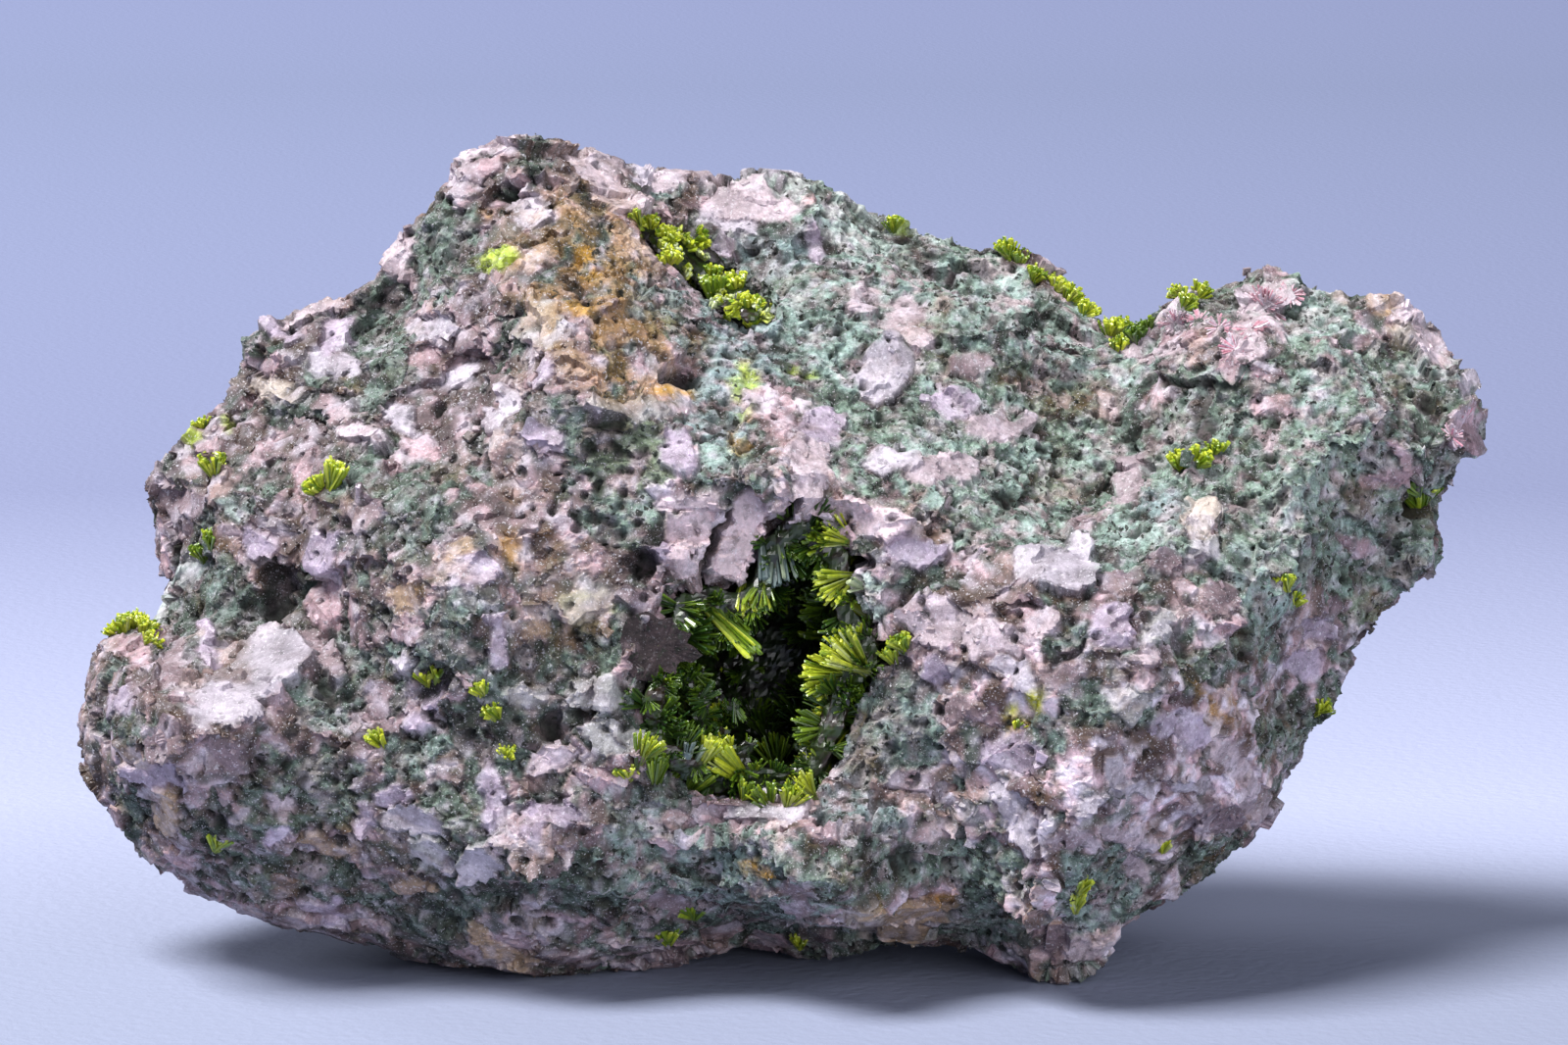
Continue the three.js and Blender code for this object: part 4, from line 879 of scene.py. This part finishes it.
    # The slab at the upper right is made paler, partly its own paler chlorite and partly painted light where
    # it faces up to the lamps; colours grow darker towards the left end
    bright = smoothstep(x, 540, 720) * (1 - smoothstep(y, 560, 760)) * front
    left = 1 - smoothstep(x, 520, 700)
    leaf = chlorite_colours(base, warped, natural, grain, crumb, green, 0.8 - 0.16 * left + 0.32 * bright)
    # Painted light: the feldspar at the lower right, which lies in the key light's shade, is lightened
    rose *= (0.88 - 0.16 * left + 0.08 * bright + 0.4 * low_right)[:, None]
    colours = np.where(natural_green[:, None], leaf, rose)

    # The listed grains' own colours, with clouds and dusky veins
    tints = np.array([linear(feature[5]) for feature in FELDSPAR])
    streaks = noise(base @ np.array([[0.5, 0, 1.0], [0, 1.0, 0], [0.25, 0, -2.0]]), 0.8, 112)
    given = tints[np.clip(listed, 0, len(tints) - 1)]
    given = given * (0.84 + 0.28 * cloud - smooth_blade * (0.2 - 0.24 * streaks))[:, None]
    vein = smoothstep(fractal(warped, 0.7, 3, 105), 0.1, 0.7) * (0.5 - 0.4 * smooth_blade)
    given = mixed(given, linear("mauve") * 0.8, vein)
    given = mixed(given * 0.84, linear("white"), 0.5 * wisp * (1 - smooth_blade))
    ragged = smoothstep(given_share + 0.3 * fractal(base, 0.5, 3, 109), 0.2, 0.75)
    colours = mixed(colours, given, ragged)
    seam = border * smoothstep(noise(base, 0.7, 111), -0.4, 0.5)
    colours = mixed(colours, linear("earth") * 0.6, 0.62 * seam)
    rib = 1 - smoothstep(np.abs(noise(warped, 1.9, 151)), 0.0, 0.12)
    rib *= smoothstep(noise(base, 3.4, 152), -0.2, 0.3) * (0.3 + 0.4 * low_right) * (1 - smooth_blade)
    colours = mixed(colours, ramp(own, ["earth", "rust", "earth"]) * 0.6, rib)

    # Stains, and pits painted near black as their shade
    colours = stained(base, pixels, front, colours)
    rusty = smoothstep(fractal(base, 4.5, 3, 121), 0.5, 1.1) * 0.35
    colours = mixed(colours, linear("rust") * 0.6, rusty)
    # Painted shade: the pits darkened towards near black
    colours = mixed(colours, linear("night") * 0.35, 0.88 * pit)
    grey = colours.mean(1)[:, None]
    colours = np.maximum(grey + 1.14 * (colours - grey), 0)
    colours = smoothed(colours, quads, 1)
    gloss = np.where(green_at, 0.12, 0.62 + 0.2 * smooth_blade) * (1 - pit)
    bare = (pit < 0.3) & (smooth_blade == 0)
    return places, quads, normals, colours, gloss, green_at, bare, front


def within_box(places):
    """Nothing stands outside the box of the CAD solids, or under the floor"""
    low, high = (np.array(corner) / MM for corner in cad_box)
    return np.clip(places, low + 0.02, high - 0.02)


def thinned(places, corners, sides, colours, gloss, chosen, ratio):
    """The skin with fewer faces, taken from the chosen points' share of it where it is flattest"""
    mesh = new_mesh("thinning", places, corners, sides, colours, gloss)
    holder = bpy.data.objects.new("thinning", mesh)
    bpy.context.scene.collection.objects.link(holder)
    group = holder.vertex_groups.new(name="chosen")
    group.add(chosen.tolist(), 1.0, "REPLACE")
    fewer = holder.modifiers.new("fewer", "DECIMATE")
    fewer.ratio = ratio
    fewer.vertex_group = group.name
    shown = holder.evaluated_get(bpy.context.evaluated_depsgraph_get())
    made = bpy.data.meshes.new_from_object(shown)
    count = len(made.vertices)
    places = np.zeros(count * 3)
    made.vertices.foreach_get("co", places)
    made.calc_loop_triangles()
    triangles = np.zeros(len(made.loop_triangles) * 3, np.int32)
    made.loop_triangles.foreach_get("vertices", triangles)
    tint = np.zeros(count * 4)
    made.attributes["tint"].data.foreach_get("color", tint)
    shine = np.zeros(count)
    made.attributes["shine"].data.foreach_get("value", shine)
    bpy.data.objects.remove(holder)
    bpy.data.meshes.remove(made)
    bpy.data.meshes.remove(mesh)
    return places.reshape(-1, 3) / MM, triangles.reshape(-1, 3), tint.reshape(-1, 4)[:, :3], shine


def split(name, places, faces, colours, gloss, material):
    """The skin as four meshes, so that none is too heavy"""
    middle = places[faces].mean(1)
    depth = middle @ TO_EYE
    near = depth > np.median(depth)
    for part, half in (("front", near), ("back", ~near)):
        centre = np.median(middle[half][:, 0])
        for side, where in (("left", middle[:, 0] < centre), ("right", middle[:, 0] >= centre)):
            chosen = faces[half & where]
            used, corners = np.unique(chosen, return_inverse=True)
            new_piece(
                f"{name}_{part}_{side}",
                places[used],
                corners.ravel(),
                3,
                colours[used],
                gloss[used],
                material,
                ("matrix_rock",),
            )


def turned_to(directions, spin):
    """Frames whose third axis is each direction, turned about it"""
    z = directions / np.linalg.norm(directions, axis=1)[:, None]
    helper = np.where(np.abs(z[:, :1]) < 0.9, np.array([[1.0, 0, 0]]), np.array([[0, 1.0, 0]]))
    x = np.cross(helper, z)
    x /= np.linalg.norm(x, axis=1)[:, None]
    y = np.cross(z, x)
    c, s = np.cos(spin)[:, None], np.sin(spin)[:, None]
    return np.stack([x * c + y * s, y * c - x * s, z], axis=1)


def blade_shape():
    points = [(px * size, py * size, share) for share, size in BLADE_STATIONS for px, py in BLADE_RING]
    top = len(points) - 6
    right, left = len(points), len(points) + 1
    points += [(0.6, 0.0, 1.0), (-0.6, 0.0, 0.98)]
    triangles = []
    for ring in range(0, top, 6):
        for k in range(6):
            n = (k + 1) % 6
            triangles += [(ring + k, ring + n, ring + 6 + n), (ring + k, ring + 6 + n, ring + 6 + k)]
    triangles += [(top, top + 1, right), (top + 1, top + 2, left), (top + 1, left, right)]
    triangles += [(top + 2, top + 3, left), (top + 3, top + 4, left), (top + 4, top + 5, right)]
    triangles += [(top + 4, right, left), (top + 5, top, right)]
    return np.array(points), np.array(triangles)


def octahedron():
    points = [(1, 0, 0), (-1, 0, 0), (0, 1, 0), (0, -1, 0), (0, 0, 1), (0, 0, -1)]
    triangles = [(0, 2, 4), (2, 1, 4), (1, 3, 4), (3, 0, 4), (2, 0, 5), (1, 2, 5), (3, 1, 5), (0, 3, 5)]
    return np.array(points, float), np.array(triangles)


def shard_shape():
    """A small slab with one slanting end"""
    points = [(-1, -1, -1), (1, -1, -1), (0.7, 1, -1), (-1, 1, -1)]
    points += [(-1, -0.8, 1), (0.8, -1, 1), (0.5, 0.9, 1), (-0.8, 1, 1)]
    quads = [(0, 3, 2, 1), (4, 5, 6, 7), (0, 1, 5, 4), (1, 2, 6, 5), (2, 3, 7, 6), (3, 0, 4, 7)]
    triangles = []
    for a, b, c, d in quads:
        triangles += [(a, b, c), (a, c, d)]
    return np.array(points, float), np.array(triangles)


def copies(shape, roots, frames, sizes):
    """Many copies of one shape, each with its own place, frame and size"""
    points, triangles = shape
    scaled = points[None] * sizes[:, None, :]
    placed = np.einsum("nki,nij->nkj", scaled, frames) + roots[:, None, :]
    corners = triangles[None] + (np.arange(len(roots)) * len(points))[:, None, None]
    return placed.reshape(-1, 3), corners.ravel()


def surface_tree(meshes):
    """What a ray from the eye meets"""
    places = []
    faces = []
    start = 0
    for points, quads in meshes:
        places.append(points)
        faces.append(quads + start)
        start += len(points)
    return BVHTree.FromPolygons(np.concatenate(places).tolist(), np.concatenate(faces).tolist())


def met(tree, x, y):
    """The point and normal that the eye sees at a pixel, or a little below one off the edge"""
    for lower in range(0, 60, 6):
        start = seen(x, y + lower, 80)
        toward = seen(x, y + lower, 0) - start
        place, normal, _, _ = tree.ray_cast(Vector(start), Vector(toward).normalized())
        if place is not None:
            return np.array(place), np.array(normal)


def spray_colour(share, tone):
    """From a root darkened as painted shade, where the blades crowd, to the spray's own tone at its tips"""
    tops = np.array([GREEN_DEEP, GREEN_MID, GREEN_BRIGHT, GREEN_PALE, GREY_BLUE])
    top = np.stack([np.interp(tone, [0, 0.5, 1, 1.35, 2], tops[:, k]) for k in range(3)], axis=1)
    return mixed(GREEN_ROOT_SHADE, top, share)


def fan(random, place, axis, length, spread, count, tone, thick):
    """The blades of one spray: roots, directions, sizes and tones"""
    axis = axis / np.linalg.norm(axis)
    side = np.cross(axis, TO_EYE)
    side /= max(np.linalg.norm(side), 1e-6)
    over = np.cross(axis, side)
    swing = random.uniform(-1, 1, count) * spread * 1.15
    nod = random.normal(0, 0.36, count) * spread
    direction = axis + side * np.tan(swing)[:, None] + over * nod[:, None]
    direction /= np.linalg.norm(direction, axis=1)[:, None]
    start = place - axis * 0.4 + random.normal(0, 0.06 + 0.05 * spread * length, (count, 3))
    grown = (length + 0.4) * random.choice([1.0, 1.0, 0.97, 0.85], count) * random.uniform(0.93, 1.04, count)
    width = thick * random.uniform(0.6, 1.6, count) * (0.8 + 0.16 * length)
    size = np.stack([width, width * random.uniform(0.35, 0.7, count), grown], axis=1)
    own = np.where(random.uniform(0, 1, count) < 0.22, 0.6, 1.0)
    return start, direction, size, (tone + random.normal(0, 0.14, count)) * (own if tone < 1.5 else 1)


def crystals(name, fans, material, nodes, seed, root_shade_lift=0.0):
    """All the blades of the given sprays as one mesh"""
    random = np.random.default_rng(seed)
    roots, axes, sizes, tones = (np.concatenate(part) for part in zip(*fans))
    shape = blade_shape()
    places, corners = copies(shape, roots, turned_to(axes, random.uniform(0, 6.28, len(roots))), sizes)
    # Painted shade at the blades' roots, lifted by the given share
    share = root_shade_lift + (1 - root_shade_lift) * np.tile(smoothstep(shape[0][:, 2], 0.0, 1.1), len(roots))
    colours = spray_colour(share, np.clip(np.repeat(tones, len(shape[0])), 0, 2))
    gloss = np.ones(len(places))
    new_piece(name, within_box(places), corners, 3, colours, gloss, material, nodes)


def seen_fans(listed, tree, seed, thick, more, tall=1.0):
    """Sprays that grow where the eye meets the specimen at the listed pixels"""
    random = np.random.default_rng(seed)
    fans = []
    for x, y, angle, eyewards, length, spread, count, tone, depth in listed:
        place, _ = met(tree, x, y)
        flat = math.sqrt(1 - eyewards**2)
        turn = math.radians(angle)
        axis = EYE_SIDE * math.cos(turn) * flat + EYE_UP * math.sin(turn) * flat + TO_EYE * eyewards
        root = place - TO_EYE * depth
        fans.append(fan(random, root, axis, length * tall, spread, int(count * more), tone, thick))
    return fans


def grown_fans(places, normals, wanted, lean, length, tones, count, seed, thick=0.06):
    """Sprays at random on a surface, which lean the given way"""
    random = np.random.default_rng(seed)
    fans = []
    for index in random.choice(wanted, min(len(wanted), count), replace=False):
        axis = normals[index] + lean + random.normal(0, 0.25, 3)
        tall = random.uniform(*length)
        spread = random.uniform(0.25, 0.6)
        tone = random.uniform(*tones)
        fans.append(fan(random, places[index], axis, tall, spread, 16, tone, thick))
    return fans


def lining(name, node, material, seed):
    """The druse of crystals that lines a hollow, painted dark as the shade inside it"""
    base, quads = remeshed(node, CRUST_VOXEL)
    base = smoothed(base, quads, 1)
    normals = normals_of(base, quads)
    near, _, number, _ = cells(base, 0.5, seed)
    out = 0.45 * (0.25 - near) + 0.22 * fractal(base, 0.9, 3, seed + 3)
    places = base + normals * (out - 0.05)[:, None]
    mix = grain_value(number, seed + 4)
    # Painted shade: the lining is darkened throughout, and most where it lies deepest behind the front
    height = (base - EYE_TARGET) @ TO_EYE
    near_front = smoothstep(height, height.max() - 4.0, height.max() - 1.0)
    colours = spray_colour(0.12 + 0.3 * near_front, mix * 0.6) * 0.55
    brown = linear("earth") * (0.05 + 0.3 * near_front)[:, None]
    colours = np.where((mix > 0.66)[:, None], brown, colours)
    stone = linear("deep") * (0.3 + 0.7 * mix)[:, None]
    colours = mixed(colours, stone, 0.5 * near_front * smoothstep(noise(base, 1.4, seed + 5), -0.1, 0.4))
    gloss = np.full(len(places), 0.6)
    new_piece(name, within_box(places), quads.ravel(), 4, colours, gloss, material, (node,))
    return places, quads, normals_of(places, quads)


def scattered(name, shape, chosen, skin, low, high, flatness, sink, seed, material, gloss):
    """Small crumbs or shards on the skin, in its colours"""
    random = np.random.default_rng(seed)
    places, normals, colours = skin
    count = len(chosen)
    size = random.uniform(low, high, count) * random.uniform(0.7, 1.3, count)
    sizes = np.stack([size, size * random.uniform(0.45, 0.9, count), size * flatness], axis=1)
    lean = normals[chosen] + random.normal(0, 0.24, (count, 3))
    frames = turned_to(lean, random.uniform(0, 6.28, count))
    roots = places[chosen] - normals[chosen] * sink + random.normal(0, 0.04, (count, 3))
    made, corners = copies(shape, roots, frames, sizes)
    own = colours[chosen] * random.uniform(0.75, 1.3, (count, 1))
    spread = np.repeat(own, len(shape[0]), axis=0)
    new_piece(name, within_box(made), corners, 3, spread, np.full(len(made), gloss), material)


def dusky_shaded_flake(tree, material):
    """A thin cleaved plate of feldspar, rough at its edge, held at its left by the rock; its own dusky
    colour is darkened further as painted shade
    """
    x, y = FLAKE_MIDDLE
    held, _ = met(tree, x - 36, y)
    height = (held - EYE_TARGET) @ TO_EYE
    outline = np.array([seen(x + dx, y + dy, height) for dx, dy in FLAKE_OUTLINE])
    steps = 6
    along = np.arange(0, len(outline), 1 / steps)
    closed = np.concatenate([outline, outline[:1]])
    edge = np.stack([np.interp(along, np.arange(len(closed)), closed[:, k]) for k in range(3)], axis=1)
    edge += 0.09 * np.stack([noise(edge, 0.35, 140 + k) for k in range(3)], axis=1)
    middle = edge.mean(0)
    rings = np.array([0.0, 0.15, 0.3, 0.45, 0.6, 0.75, 0.88, 1.0])
    faces = []
    sheet = (middle + rings[:, None, None] * (edge - middle)).reshape(-1, 3)
    count = len(edge)
    thickness = 0.22
    slope = (sheet - middle) @ EYE_SIDE
    relief = 0.09 * fractal(sheet, 0.9, 3, 143) - 0.16 * slope + 0.1
    front = sheet + TO_EYE * (relief + thickness)[:, None]
    back = sheet + TO_EYE * (relief - thickness)[:, None]
    places = np.concatenate([front, back])
    last = len(rings) - 1
    behind = len(sheet)
    for k in range(count):
        n = (k + 1) % count
        for ring in range(last):
            a, b = ring * count + k, ring * count + n
            c, d = b + count, a + count
            faces += [(a, d, c), (a, c, b)]
            faces += [(behind + a, behind + c, behind + d), (behind + a, behind + b, behind + c)]
        a, b = last * count + k, last * count + n
        faces += [(a, behind + a, behind + b), (a, behind + b, b)]
    shade = 0.5 + 0.4 * fractal(places, 0.8, 3, 146)
    # Its own dusky mauve, darkened further as painted shade
    colours = ramp(shade, ["flake", "flake", "dusk", "mauve"]) * 0.36
    gloss = np.full(len(places), 0.05)
    new_piece("dusky_shaded_flake", within_box(places), np.array(faces).ravel(), 3, colours, gloss, material)


def pink_stars(tree, random, material):
    """Rosettes of fine pink blades"""
    stars = []
    for x, y, reach, count in PINK_STARS:
        place, normal = met(tree, x, y)
        away = random.normal(0, 1, (count, 3))
        away -= (away @ normal)[:, None] * normal * 0.93
        away /= np.linalg.norm(away, axis=1)[:, None]
        width = random.uniform(0.04, 0.1, count)
        size = np.stack([width, width * 0.5, reach * random.uniform(0.35, 0.85, count)], axis=1)
        stars.append((place - normal * 0.1 + away * 0.15, away, size))
    roots, axes, sizes = (np.concatenate(part) for part in zip(*stars))
    shape = blade_shape()
    made, corners = copies(shape, roots, turned_to(axes, random.uniform(0, 6.28, len(roots))), sizes)
    own = ramp(random.uniform(0, 1, len(roots)), ["rose", "pink", "white"])
    spread = np.repeat(own, len(shape[0]), axis=0)
    new_piece("pink_stars", within_box(made), corners, 3, spread, np.full(len(made), 0.7), material)


def build_specimen():
    rock = rock_material()
    crystal = crystal_material()
    places, quads, normals, colours, gloss, green_at, bare, front = rock_skin()
    places = within_box(places)
    hidden = np.flatnonzero(normals @ TO_EYE < -0.1)
    thin = thinned(places, quads.ravel(), 4, colours, gloss, hidden, HIDDEN_KEPT)
    every = np.arange(len(thin[0]))
    thin = thinned(thin[0], thin[1].ravel(), 3, thin[2], thin[3], every, SKIN_KEPT)
    split("matrix_skin", *thin, rock)
    hollow, hollow_quads, hollow_normals = lining("hollow_lining", "hollow_crystals", crystal, 120)
    pocket, pocket_quads, pocket_normals = lining("pocket_lining", "pocket_crystals", crystal, 130)
    tree = surface_tree([(places, quads), (hollow, hollow_quads), (pocket, pocket_quads)])

    random = np.random.default_rng(3)
    skin = (places, normals, colours)
    shown = bare & ((front > 0.4) | (random.uniform(0, 1, len(front)) < 0.3))
    crumbs = random.choice(np.flatnonzero(green_at & shown), CHLORITE_CRUMBS, replace=False)
    scattered("chlorite_crumbs", octahedron(), crumbs, skin, 0.07, 0.17, 0.6, 0.02, 4, rock, 0.25)
    shards = random.choice(np.flatnonzero(~green_at & shown), FELDSPAR_SHARDS, replace=False)
    scattered("feldspar_shards", shard_shape(), shards, skin, 0.12, 0.32, 0.26, 0.11, 5, rock, 0.7)
    dusky_shaded_flake(tree, rock)
    pink_stars(tree, random, rock)

    # Crystals: the listed sprays, and smaller ones all over the walls of the hollows; in the hollow, the low
    # tones of the sprays on its walls and lip are painted shade
    walls = np.flatnonzero(hollow_normals @ TO_EYE > -0.2)
    fans = seen_fans(HOLLOW_SPRAYS, tree, 6, 0.085, 2.0)
    fans += grown_fans(hollow, hollow_normals, walls, TO_EYE * 0.4, (0.7, 1.9), (0.0, 0.26), 150, 16)
    height = (hollow - EYE_TARGET) @ TO_EYE
    lip = np.flatnonzero(height > height.max() - 3.5)
    fans += grown_fans(hollow, hollow_normals, lip, TO_EYE * 0.3, (0.5, 1.1), (0.0, 0.42), 110, 18)
    fans += seen_fans(ICE_SPRAYS, tree, 19, 0.17, 1)
    crystals("hollow_sprays", fans, crystal, ("hollow_crystals",), 6, 0.1)
    walls = np.flatnonzero(pocket_normals @ TO_EYE > -0.2)
    fans = seen_fans(POCKET_SPRAYS, tree, 7, 0.13, 2.4, 0.62)
    fans += grown_fans(pocket, pocket_normals, walls, TO_EYE * 0.7, (0.3, 0.6), (0.8, 1.45), 34, 17, 0.16)
    crystals("pocket_sprays", fans, crystal, ("pocket_crystals",), 7, 0.3)
    for name, listed, node, seed in (
        ("saddle_sprays", SADDLE_SPRAYS, "saddle_crystals", 8),
        ("tip_sprays", TIP_SPRAYS, "left_tip_crystals", 9),
        ("notch_sprays", NOTCH_SPRAYS, "right_notch_crystals", 10),
        ("tuft_sprays", TUFT_SPRAYS, "matrix_rock", 11),
    ):
        crystals(name, seen_fans(listed, tree, seed, 0.12, 2.4, 0.75), crystal, (node,), seed, 0.4)


def build_floor():
    """A plain pale floor, with tones painted from front to back as light and shade, in place of the lamps'
    falloff
    """
    build = Shading("floor")
    parts = build.add("SeparateXYZ")
    build.feed(parts.inputs["Vector"], build.where)
    # Painted light and shade: the floor's tones rise and fall with the distance behind the specimen
    tones = build.add("ValToRGB")
    stops = tones.color_ramp.elements
    stops[0].color = (0.24, 0.27, 0.38, 1)
    stops[1].color = (0.39, 0.44, 0.73, 1)
    for position, colour in (
        (0.12, (0.27, 0.30, 0.42, 1)),
        (0.18, (0.39, 0.42, 0.59, 1)),
        (0.34, (0.225, 0.25, 0.41, 1)),
        (0.75, (0.285, 0.33, 0.53, 1)),
    ):
        stops.new(position).color = colour
    build.feed(tones.inputs["Fac"], build.spanned(parts.outputs["Y"], -0.1, 0.7, 0.0, 1.0))
    build.feed(build.shader.inputs["Base Color"], tones.outputs["Color"])
    build.feed(build.shader.inputs["Roughness"], 0.9)
    build.bump(build.noise(1400, 3.0, 0.5), 0.35, 0.0003)
    reach = 2.0
    corners = [(-reach, -reach, 0), (reach, -reach, 0), (reach, reach, 0), (-reach, reach, 0)]
    mesh = bpy.data.meshes.new("floor")
    mesh.from_pydata(corners, [], [(0, 1, 2, 3)])
    mesh.materials.append(build.material)
    floor = bpy.data.objects.new("floor", mesh)
    bpy.context.scene.collection.objects.link(floor)


def lamp(name, place, size, energy, colour):
    data = bpy.data.lights.new(name, "AREA")
    data.size = size
    data.energy = energy
    data.color = colour
    made = bpy.data.objects.new(name, data)
    made.location = place
    aim = Vector(place) - Vector((0, 0, 0.02))
    made.rotation_mode = "QUATERNION"
    made.rotation_quaternion = aim.to_track_quat("Z", "Y")
    bpy.context.scene.collection.objects.link(made)


def build_studio():
    lamp("key", (-0.50, -0.24, 0.95), 0.46, 23.0, (1.0, 0.99, 0.98))
    lamp("fill", (0.45, -0.8, 0.34), 0.8, 6.6, (0.95, 0.96, 1.0))
    lamp("rim", (-0.62, 0.42, 0.42), 0.3, 2.0, (0.96, 0.98, 1.0))
    world = bpy.data.worlds.new("studio")
    world.use_nodes = True
    sky = world.node_tree.nodes["Background"]
    sky.inputs["Color"].default_value = (0.70, 0.78, 1.0, 1)
    sky.inputs["Strength"].default_value = 0.13
    bpy.context.scene.world = world
    camera = bpy.data.cameras.new("camera")
    camera.sensor_fit = "HORIZONTAL"
    camera.sensor_width = 36
    camera.lens = 36 * EYE_DISTANCE / (PICTURE_WIDTH * MM_PER_PIXEL)
    camera.clip_start = 0.01
    eye = bpy.data.objects.new("camera", camera)
    axes = Matrix([Vector(EYE_SIDE), Vector(EYE_UP), Vector(TO_EYE)]).transposed()
    eye.matrix_world = Matrix.Translation(Vector((EYE_TARGET + TO_EYE * EYE_DISTANCE) * MM)) @ axes.to_4x4()
    bpy.context.scene.collection.objects.link(eye)
    bpy.context.scene.camera = eye
    bpy.context.scene.view_settings.view_transform = "Standard"


build_specimen()
build_floor()
build_studio()
